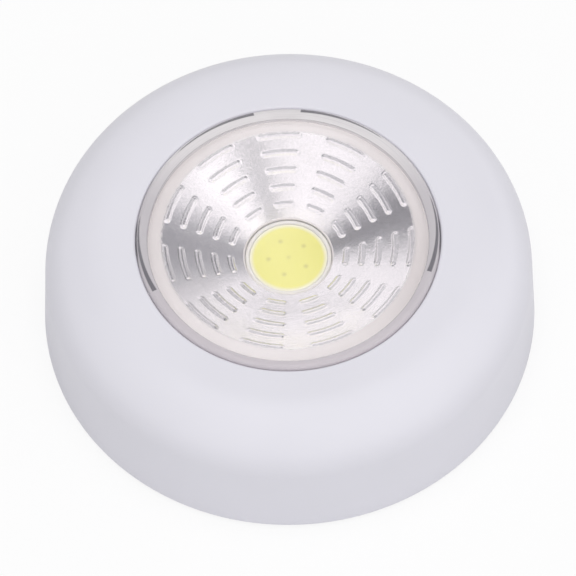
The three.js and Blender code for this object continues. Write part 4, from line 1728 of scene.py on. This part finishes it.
@dataclass
class Carrier:
    """The moulding that carries the LED board, the dish and the lens."""

    hub_radius: float = 11.9
    hub_bottom: float = LAMP.hub_bottom
    hub_edge: float = 0.3
    pocket_radius: float = 10.9
    pocket_edge: float = 0.2
    board_bottom: float = LAMP.board_bottom
    under_level: float = 17.2
    under_radius: float = 12.7
    wall: float = 1.2
    ring_outer: float = 21.25
    ring_inner: float = 19.65
    ring_edges: Point = (0.2, 0.15)
    brim_inner: float = LAMP.brim_inner
    flange_radius: float = 24.85
    flange_levels: Point = (18.2, 19.6)
    flange_edge: float = 0.3
    top_edges: Point = (0.12, 0.25)
    pin_radius: float = 1.3
    pin_bottom: float = 11.5
    pin_edge: float = 0.4
    notch_half: float = 2.2
    notch_outer: float = 23.75
    stud_radius: float = 1.6
    stud_bottom: float = 13.018
    screw_bore: float = 0.75
    screw_bore_bottom: float = 12.818
    wire_bore: float = 0.9
    wire_bore_bottom: float = 12.5
    sides: int = 192
    stud_sides: int = 32
    bore_sides: int = 24

    def under(self, radius: float) -> float:
        """The level of the cone's underside at a radius."""
        return self.under_level + math.tan(math.radians(LAMP.cone_angle)) * (radius - self.under_radius)

    def build(self) -> bpy.types.Object:
        """Builds the carrier.

        Returns:
            The finished piece.
        """
        top = self.under(self.brim_inner) + self.wall
        flange_low, flange_high = self.flange_levels
        outline = filleted([
            (0.0, self.hub_bottom, 0), (self.hub_radius, self.hub_bottom, self.hub_edge),
            (self.hub_radius, self.under(self.hub_radius), 0),
            (self.ring_inner, self.under(self.ring_inner), self.ring_edges[0]),
            (self.ring_inner, flange_low, self.ring_edges[1]),
            (self.flange_radius, flange_low, self.flange_edge),
            (self.flange_radius, flange_high, self.flange_edge),
            (self.ring_outer, flange_high, self.top_edges[0]),
            (self.ring_outer, top, self.top_edges[1]), (self.brim_inner, top, 0),
            (self.pocket_radius, self.under(self.pocket_radius) + self.wall, self.pocket_edge),
            (self.pocket_radius, self.board_bottom, 0), (0.0, self.board_bottom, 0)], closed=False)
        body = Solid().lathe(outline, self.sides).finished("carrier", CARRIER)
        past = LAMP.overlap
        pin = filleted([
            (0.0, self.pin_bottom, 0), (self.pin_radius, self.pin_bottom, self.pin_edge),
            (self.pin_radius, flange_low + past, 0), (0.0, flange_low + past, 0)], closed=False)
        tools = [self.round_tool(Join.ADD, "pin", pin, angle, LAMP.spring_circle)
                 for angle in CORNER_ANGLES]
        for middle in CELL_ANGLES:
            notch = Solid().block((self.ring_outer, -self.notch_half, flange_low - past),
                                  (self.notch_outer, self.notch_half, flange_high + past), middle)
            tools.append((Join.CUT, notch.finished("notch", CARRIER)))
        stud = post(self.stud_radius, self.stud_bottom, self.hub_bottom + past)
        screw_way = post(self.screw_bore, self.screw_bore_bottom, self.board_bottom + past)
        for angle in LAMP.screw_angles:
            tools += [self.round_tool(Join.ADD, "stud", stud, angle, LAMP.screw_circle),
                      self.round_tool(Join.CUT, "screw_way", screw_way, angle, LAMP.screw_circle)]
        wire_way = post(self.wire_bore, self.wire_bore_bottom, self.board_bottom + past)
        tools += [self.round_tool(Join.CUT, "wire_way", wire_way, angle, LAMP.wire_circle)
                  for angle in LAMP.wire_angles]
        return placed(combined(body, tools), CARRIER, Body.BUTTON, "led_carrier")

    def round_tool(self, join: Join, name: str, outline: Sequence[Point], angle: float,
                   circle: float) -> tuple[Join, bpy.types.Object]:
        """A round solid that is joined to the carrier or cut out of it.

        Args:
            join: what it does.
            name: its name.
            outline: its radii and levels.
            angle: where it stands, in degrees.
            circle: how far out it stands.

        Returns:
            What the joining needs.
        """
        sides = self.stud_sides if join is Join.ADD else self.bore_sides
        return join, Solid().lathe(outline, sides, around(angle, circle)).finished(name, CARRIER)


@dataclass
class Cells:
    """The three cells, with their sleeves, nubs and coned springs."""

    circle: float = 19.05
    level: float = 8.25
    radius: float = 5.25
    half_length: float = 22.25
    nub_radius: float = 1.9
    nub_height: float = 0.9
    # Corners: how far in from the sleeve or out from the nub, how far from the end or the face, the rounding
    foot_corners: tuple[Corner, ...] = (
        (0.75, 0.0, 0.0), (0.75, 0.12, 0.04), (0.6, 0.12, 0.04), (0.0, 0.05, 0.3))
    top_corners: tuple[Corner, ...] = ((0.0, 0.0, 0.45), (0.9, 0.0, 0.1), (1.0, 0.25, 0.05))
    nub_corners: tuple[Corner, ...] = ((0.7, 0.25, 0.1), (0.1, 0.05, 0.05))
    nub_edge: float = 0.35
    spring_radii: Point = (2.6, 1.6)
    spring_length: float = 2.05
    spring_turns: float = 2.0
    spring_closed: float = 0.3
    spring_wire: float = 0.15
    spring_start: float = -24.4
    sides: int = 96

    def laid(self, start: float) -> Matrix:
        """The place where a shape that stands on Z lies along the first cell."""
        lie = Matrix.Rotation(math.radians(-90.0), 4, "X")
        return Matrix.Translation((self.circle, start, self.level)) @ lie

    def build(self) -> list[bpy.types.Object]:
        """Builds the cells and their springs.

        Returns:
            The finished pieces.
        """
        end, face = self.half_length, self.half_length - self.nub_height
        outline = filleted([
            (0.0, -end, 0),
            *((self.radius - inset, lift - end, edge) for inset, lift, edge in self.foot_corners),
            *((self.radius - inset, face - drop, edge) for inset, drop, edge in self.top_corners),
            *((self.nub_radius + flare, face - drop, edge) for flare, drop, edge in self.nub_corners),
            (self.nub_radius, end, self.nub_edge), (0.0, end, 0)], closed=False, steps=5)
        blank = Solid().lathe(outline, self.sides).finished("cell_blank")
        self.marked(blank.data)
        blank.data.transform(in_metres(self.laid(0.0)))
        cells = RING.made("battery_cells", ring_values(blank, JACKET, CELL_ANGLES[0]), Crease.CRISP)
        bpy.data.objects.remove(blank)

        coil = COIL.made("spring_blank", {
            "Low radius": self.spring_radii[0] * MM, "High radius": self.spring_radii[1] * MM,
            "Length": self.spring_length * MM, "Turns": self.spring_turns,
            "Closed turns": self.spring_closed, "Wire radius": self.spring_wire * MM,
            "Material": PAINTS.of(NICKEL)})
        coil.data.transform(in_metres(self.laid(self.spring_start)))
        springs = RING.made("cell_springs", ring_values(coil, NICKEL, CELL_ANGLES[0]))
        bpy.data.objects.remove(coil)
        return [
            placed(cells, JACKET, Body.HOUSING, "battery_1", "battery_2", "battery_3"),
            placed(springs, NICKEL, Body.HOUSING,
                   "battery_spring_1", "battery_spring_2", "battery_spring_3"),
        ]

    def marked(self, mesh: bpy.types.Mesh) -> None:
        """Writes how far along and how far out each point is, for the sleeve's pattern.

        Args:
            mesh: the cell's mesh, upright on the axis.
        """
        along = mesh.attributes.new("along", "FLOAT", "POINT")
        away = mesh.attributes.new("away", "FLOAT", "POINT")
        for vert, one, two in zip(mesh.vertices, along.data, away.data):
            x, y, z = (part / MM for part in vert.co)
            one.value = (z + self.half_length) / (2 * self.half_length)
            two.value = math.hypot(x, y) / self.radius


@dataclass
class Springs:
    """The three return springs, which shorten as the button goes in."""

    circle: float = LAMP.spring_circle
    radius: float = 2.2
    wire: float = 0.25
    low: float = 7.1
    high: float = 18.1
    turns: float = 6.5
    closed: float = 0.9

    def build(self) -> bpy.types.Object:
        """Builds the springs.

        Returns:
            The finished piece.
        """
        coil = COIL.made("return_blank", {
            "Low radius": self.radius * MM, "High radius": self.radius * MM,
            "Length": (self.high - self.low) * MM, "Turns": self.turns, "Closed turns": self.closed,
            "Wire radius": self.wire * MM, "Material": PAINTS.of(SPRING)})
        coil.data.transform(in_metres(around(0.0, self.circle, self.low)))
        springs = RING.made("return_springs", ring_values(coil, SPRING, CORNER_ANGLES[2]))
        bpy.data.objects.remove(coil)
        return stretched(springs, SPRING, self.low, self.high,
                         "return_spring_1", "return_spring_2", "return_spring_3")


@dataclass(frozen=True)
class ScrewSizes:
    """A pan-head screw with its seat at level zero.

    The core and the taper are shares of the shank, the flat top and the rim are shares of the head.
    """

    head: float
    head_height: float
    shank: float
    length: float
    slot: float
    pitch: float
    core: float = 0.72
    taper: float = 1.2
    crest_slope: float = 3.2
    point: float = 0.15
    neck: float = 0.2
    head_edges: Point = (0.05, 0.08)
    flat_top: float = 0.62
    rim: float = 0.45
    past: float = 1.0
    sides: int = 32
    turn_rings: int = 8

    def thread(self, level: float, turn: float) -> float:
        """How far out the threaded shank reaches.

        Args:
            level: a level below the seat.
            turn: a direction, as a share of a turn.

        Returns:
            The radius.
        """
        core = self.shank * self.core
        phase = (level / self.pitch - turn) % 1.0
        crest = max(0.0, 1.0 - abs(phase - 0.5) * self.crest_slope)
        fade = min(1.0, max(0.0, (-self.neck - level) / self.neck))
        taper = min(1.0, (level + self.length) / (self.shank * self.taper))
        return (core + (self.shank - core) * crest * fade) * taper


@dataclass
class Screws:
    """The lamp's seven screws: threaded shanks and pan heads with a cross."""

    case: ScrewSizes = ScrewSizes(2.1, 1.3, 0.9, 6.5, 0.5, 0.8)
    board: ScrewSizes = ScrewSizes(1.2, 0.8, 0.6, 2.1, 0.35, 0.45)
    led: ScrewSizes = ScrewSizes(1.0, 0.65, 0.5, 2.6, 0.3, 0.4)
    case_seat: float = 13.7
    board_circle: float = 8.4
    board_seat: float = 5.2
    led_seat: float = 15.866

    @staticmethod
    def blank(size: ScrewSizes, turn: Matrix) -> bpy.types.Object:
        """One screw, put in its place.

        Args:
            size: its sizes.
            turn: its place.

        Returns:
            The object to copy.
        """
        sides, solid = size.sides, Solid()
        count = max(size.turn_rings, int(size.length / size.pitch * size.turn_rings))
        run = size.length - size.point - size.neck
        rings = [solid.ring([0.0] * sides, -size.length)]
        for i in range(count + 1):
            level = -size.length + size.point + run * i / count
            rings.append(solid.ring([size.thread(level, k / sides) for k in range(sides)], level))
        side, foot = size.head_edges
        rim, flat = size.head_height * size.rim, size.head * size.flat_top
        rows = [(size.head - side, 0.0), (size.head, foot), (size.head, rim),
                *arc((flat, rim), (size.head - flat, size.head_height - rim), 15, 90, 5)]
        rings += [solid.ring([radius] * sides, level) for radius, level in rows]
        rings.append(solid.ring([0.0] * sides, size.head_height))
        solid.skin(rings)
        screw = solid.finished("screw_blank", None, Crease.THREAD)
        reach, half, floor = size.head / 2, size.slot / 2, size.head_height / 2
        top = size.head_height + size.past
        along = Solid().block((-reach, -half, floor), (reach, half, top)).finished("along")
        across = Solid().block((-half, -reach, floor), (half, reach, top)).finished("across")
        cut = combined(screw, [(Join.CUT, along), (Join.CUT, across)], Crease.THREAD)
        cut.data.transform(in_metres(turn))
        return cut

    def copies(self, name: str, size: ScrewSizes, turn: Matrix, first: float, count: int,
               step: float) -> bpy.types.Object:
        """One kind of screw, as often as the lamp has it.

        Args:
            name: the piece's name.
            size: the screw's sizes.
            turn: the place of a screw at angle zero.
            first: the first screw's angle, in degrees.
            count: how many screws.
            step: the angle from one to the next, in degrees.

        Returns:
            The plain mesh object.
        """
        blank = self.blank(size, turn)
        made = RING.made(name, ring_values(blank, SCREW, first, count, step), Crease.THREAD)
        bpy.data.objects.remove(blank)
        return made

    def build(self) -> list[bpy.types.Object]:
        """Builds the screws.

        Returns:
            The finished pieces.
        """
        over = Matrix.Rotation(math.pi, 4, "X")
        first, last = LAMP.screw_angles
        case = self.copies("case_screws", self.case, around(0.0, LAMP.boss_circle, self.case_seat) @ over,
                           CELL_ANGLES[0], len(CELL_ANGLES), THIRD)
        board = self.copies("board_screws", self.board, around(0.0, self.board_circle, self.board_seat),
                            first, 2, last - first)
        led = self.copies("led_screws", self.led, around(0.0, LAMP.screw_circle, self.led_seat),
                          first, 2, last - first)
        return [
            placed(case, SCREW, Body.HOUSING, "housing_screw_1", "housing_screw_2", "housing_screw_3"),
            placed(board, SCREW, Body.HOUSING, "switch_board_screw_1", "switch_board_screw_2"),
            placed(led, SCREW, Body.BUTTON, "led_board_screw_1", "led_board_screw_2"),
        ]


@dataclass
class Wires:
    """The two wires to the cells and the two to the LED."""

    radius: float = 0.5
    circle: float = LAMP.wire_circle
    low: float = 5.3
    high: float = 14.616
    bow: float = 1.4
    wire_level: float = 4.6
    landing: float = 5.8
    channel: tuple[float, float, float, float] = (7.8, 9.3, 12.2, 21.2)
    spread: float = 0.85
    end_away: float = 14.75
    plus_plane: float = 22.55
    minus_plane: float = -24.7
    steps: int = 72
    sides: int = 16
    route_steps: int = 12

    def sleeve(self, name: str, route: Sequence[Vector], finish: Finish) -> bpy.types.Object:
        """Draws a wire through its places.

        Args:
            name: the piece's name.
            route: the places that it passes, in millimetres.
            finish: its sleeve.

        Returns:
            The plain mesh object.
        """
        curve = bpy.data.curves.new(name + "_path", "CURVE")
        curve.dimensions = "3D"
        spline = curve.splines.new("POLY")
        dense = smooth_route(route, self.route_steps)
        spline.points.add(len(dense) - 1)
        for point, place in zip(spline.points, dense):
            point.co = (*(place * MM), 1.0)
        values = {"Radius": self.radius * MM, "Steps": self.steps, "Sides": self.sides,
                  "Material": PAINTS.of(finish)}
        return TUBE.made(name, values, source=linked(name + "_path", curve))

    def led_route(self, angle: float) -> list[Vector]:
        """The places of a wire up to the LED board.

        Args:
            angle: where it stands, in degrees.

        Returns:
            The places.
        """
        rise = self.high - self.low
        places = [
            (0.0, self.low), (self.bow / 2, self.low + rise / 4), (self.bow, (self.low + self.high) / 2),
            (self.bow / 4, self.high - rise / 4), (0.0, LAMP.hub_bottom), (0.0, self.high)]
        return [around(angle, self.circle + out, level).translation.copy() for out, level in places]

    def cell_route(self, side: float, cell: float, plane: float) -> list[Vector]:
        """The places of a wire out to a contact.

        Args:
            side: which side of the channel it lies on, -1 or 1.
            cell: the cell's angle, in degrees.
            plane: how far along the cell its contact stands.

        Returns:
            The places.
        """
        levels = (self.landing, self.landing + self.radius, self.wire_level, self.wire_level)
        turn = around(CORNER_ANGLES[2])
        route = [turn @ Vector((out, side * self.spread, level)) for out, level in zip(self.channel, levels)]
        return [*route, around(cell) @ Vector((self.end_away, plane, self.wire_level))]

    def build(self) -> list[bpy.types.Object]:
        """Builds the wires.

        Returns:
            The finished pieces.
        """
        plus_route = self.cell_route(-1.0, CELL_ANGLES[2], self.plus_plane)
        minus_route = self.cell_route(1.0, CELL_ANGLES[0], self.minus_plane)
        plus = self.sleeve("cell_wire_plus", plus_route, RED_WIRE)
        minus = self.sleeve("cell_wire_minus", minus_route, BLACK_WIRE)
        made = [placed(plus, RED_WIRE, Body.HOUSING, "battery_wire_positive"),
                placed(minus, BLACK_WIRE, Body.HOUSING, "battery_wire_negative")]
        kinds = (("led_wire_plus", RED_WIRE, "led_wire_positive"),
                 ("led_wire_minus", BLACK_WIRE, "led_wire_negative"))
        for angle, (name, finish, node) in zip(LAMP.wire_angles, kinds):
            wire = self.sleeve(name, self.led_route(angle), finish)
            made.append(stretched(wire, finish, self.low, self.high, node))
        return made


def smooth_route(places: Sequence[Vector], steps: int) -> list[Vector]:
    """Points on a smooth curve through places.

    Args:
        places: the places, in order.
        steps: how many points lie on each stretch.

    Returns:
        The points.
    """
    ends = [places[0] * 2 - places[1], *places, places[-1] * 2 - places[-2]]
    points = []
    for a, b, c, d in zip(ends, ends[1:], ends[2:], ends[3:]):
        for i in range(steps):
            t = i / steps
            points.append(0.5 * ((2 * b) + (c - a) * t + (2 * a - 5 * b + 4 * c - d) * t ** 2
                                 + (3 * b - a - 3 * c + d) * t ** 3))
    points.append(places[-1].copy())
    return points


@dataclass
class KeptParts:
    """The CAD nodes whose shape is right, with their finishes."""

    finishes: dict[str, Finish] = field(default_factory=lambda: {
        "battery_tray": INNER, "bridge_contact_1": NICKEL, "bridge_contact_2": NICKEL,
        "positive_terminal": NICKEL, "negative_terminal": NICKEL, "switch_board": GREEN,
        "switch_body": SWITCH, "switch_plunger": PLUNGER, "series_resistor": CHIP, "led_board": LED_METAL})

    def build(self) -> None:
        """Gives each node its finish."""
        for name, finish in self.finishes.items():
            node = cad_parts[name]
            for place in node.material_slots:
                place.material = PAINTS.of(finish)
            log.info("%s keeps its shape, in %s", name, finish.name)


# The studio


@dataclass(frozen=True)
class Patch:
    """A bright or dark spot of the room, placed by the leaning face that shows it, in degrees."""

    azimuth: float
    lean: float
    inner: float
    outer: float
    amount: float


@dataclass
class Studio:
    """A white floor, a bright room, one soft lamp and the camera.

    The aim and the foot are in millimetres, the room and the lamp in metres, and the roll is in radians.
    """

    distance: float = 1.0
    elevation: float = 59.5
    roll: float = -0.022
    lens: float = 407.5
    aim_up: float = 3.62
    aim_left: float = 0.26
    foot: float = 0.4
    sensor: float = 36.0
    clips: Point = (0.05, 20.0)
    floor_drop: float = 0.00002
    floor_size: float = 6.0
    floor_tone: Colour = (0.86, 0.86, 0.87)
    floor_glow: float = 0.86
    room_level: float = 0.62
    room_top: float = 0.16
    room_front: float = 0.27
    room_right: float = 0.06
    room_left_fall: float = 0.22
    mirror_level: float = 1.46
    mirror_fall: float = 0.38
    shade_tone: Colour = (0.93, 0.95, 1.0)
    shade_span: Point = (0.5, 1.05)
    key_place: Place = (-0.02, -0.05, 0.97)
    key_size: float = 0.6
    key_power: float = 3.3
    key_tone: Colour = (1.0, 0.99, 0.98)
    key_aim: Place = (0.0, 0.0, 0.01)
    patches: tuple[Patch, ...] = (
        Patch(15.0, 22.0, 4.0, 18.0, -0.94), Patch(179.0, 22.0, 4.0, 21.0, -0.82),
        Patch(206.0, 22.0, 3.0, 9.0, -0.35), Patch(110.0, 22.0, 2.5, 8.0, -0.88),
        Patch(68.0, 22.0, 8.0, 18.0, 0.18), Patch(128.0, 22.0, 5.0, 15.0, 0.32),
        Patch(90.0, 6.0, 2.0, 8.0, -0.6), Patch(186.0, 8.0, 6.0, 15.0, -1.0),
        Patch(22.0, 8.0, 6.0, 13.0, -0.85), Patch(270.0, 22.0, 6.0, 18.0, 0.03),
        Patch(128.0, 8.0, 4.0, 10.0, 0.34), Patch(57.0, 8.0, 4.0, 10.0, 0.34))

    def towards_camera(self) -> Vector:
        """The way from the lamp to the camera."""
        lift = math.radians(self.elevation)
        return Vector((0.0, -math.cos(lift), math.sin(lift)))

    def mirrored_way(self, patch: Patch) -> Vector:
        """Where the face of a patch sends the camera's line of sight.

        Args:
            patch: the patch.

        Returns:
            The way into the room.
        """
        lean, turn = math.radians(patch.lean), math.radians(patch.azimuth)
        face = Vector((-math.sin(lean) * math.cos(turn), -math.sin(lean) * math.sin(turn), math.cos(lean)))
        back = self.towards_camera()
        return face * (2.0 * face.dot(back)) - back

    def floor(self) -> bpy.types.Object:
        """The floor, white to the camera but with the lamp's faint shadow.

        Returns:
            The floor.
        """
        mesh = bpy.data.meshes.new("floor")
        half = self.floor_size / 2
        low = -self.floor_drop
        corners = [(-half, -half, low), (half, -half, low), (half, half, low), (-half, half, low)]
        mesh.from_pydata(corners, [], [(0, 1, 2, 3)])
        made = linked("floor", mesh)
        paint = bpy.data.materials.new("floor_white")
        paint.use_nodes = True
        paint.node_tree.nodes.clear()
        graph = Graph(paint.node_tree)
        matt = graph.node("ShaderNodeBsdfDiffuse", {}, {"Color": (*self.floor_tone, 1.0)}).out()
        glow = graph.node("ShaderNodeEmission", {}, {"Color": (*WHITE, 1.0), "Strength": 1.0}).out()
        seen = graph.node("ShaderNodeLightPath").out("Is Camera Ray")
        whole = graph.node("ShaderNodeMixShader", {}, {0: seen * self.floor_glow, 1: matt, 2: glow}).out()
        graph.node("ShaderNodeOutputMaterial", {}, {"Surface": whole})
        mesh.materials.append(paint)
        return made

    def room(self) -> None:
        """The world: white to the camera, and to polished faces a bright room with soft patches."""
        world = bpy.data.worlds.new("room")
        bpy.context.scene.world = world
        world.use_nodes = True
        world.node_tree.nodes.clear()
        graph = Graph(world.node_tree)
        way = graph.node("ShaderNodeTexCoord").out("Generated")
        x, y, z = graph.split(way)
        mirrored = self.mirror_level - z.most(0.0) * self.mirror_fall
        for patch in self.patches:
            aim = self.mirrored_way(patch)
            cosine = x * aim.x + y * aim.y + z * aim.z
            near = cosine.eased(math.cos(math.radians(patch.outer)), math.cos(math.radians(patch.inner)))
            mirrored = near * patch.amount + mirrored
        lit = self.room_level + z.most(0.0) * self.room_top - y * self.room_front + x * self.room_right
        lit = lit - (x * -1.0).most(0.0) * self.room_left_fall
        tone = graph.blended(mirrored.eased(*self.shade_span), self.shade_tone, WHITE)
        rays = graph.node("ShaderNodeLightPath")
        camera = rays.out("Is Camera Ray")
        glossy = rays.out("Is Glossy Ray").most(rays.out("Is Transmission Ray"))
        level = lit * (1.0 - glossy) + mirrored * glossy
        level = level * (1.0 - camera) + camera
        tinted = graph.blended(glossy * (1.0 - camera), WHITE, tone)
        light = graph.node("ShaderNodeBackground", {}, {"Color": tinted, "Strength": level}).out()
        graph.node("ShaderNodeOutputWorld", {}, {"Surface": light})

    def key(self) -> None:
        """The soft lamp, which points at the object."""
        data = bpy.data.lights.new("key", "AREA")
        data.shape, data.size = "DISK", self.key_size
        data.energy, data.color = self.key_power, self.key_tone
        made = linked("key", data)
        made.location = self.key_place
        made.visible_glossy = made.visible_transmission = False
        away = Vector(self.key_aim) - Vector(self.key_place)
        made.rotation_euler = away.to_track_quat("-Z", "Y").to_euler()

    def camera(self) -> None:
        """The camera, at the photograph's angle."""
        data = bpy.data.cameras.new("camera")
        data.lens, data.sensor_width = self.lens, self.sensor
        data.clip_start, data.clip_end = self.clips
        made = linked("camera", data)
        back = self.towards_camera()
        turn = back.to_track_quat("Z", "Y").to_matrix() @ Matrix.Rotation(self.roll, 3, "Z")
        up, right = turn @ Vector((0, 1, 0)), turn @ Vector((1, 0, 0))
        aim = Vector((0, 0, self.foot * MM)) + up * self.aim_up * MM - right * self.aim_left * MM
        made.location = aim + back * self.distance
        made.rotation_euler = turn.to_euler()
        bpy.context.scene.camera = made

    def build(self) -> None:
        """Builds the studio."""
        self.floor()
        self.room()
        self.key()
        self.camera()
        bpy.context.scene.view_settings.view_transform = "Standard"
        log.info("the studio stands")


def main() -> None:
    """Builds the studio and every piece of the lamp."""
    logging.basicConfig(level=logging.INFO, format="%(name)s: %(message)s")
    Studio().build()
    HousingShell().build()
    BackPlate().build()
    LensCap().build()
    Dish().build()
    LedField().build()
    Carrier().build()
    Cells().build()
    Springs().build()
    Screws().build()
    Wires().build()
    KeptParts().build()


if __name__ == "__main__":
    main()
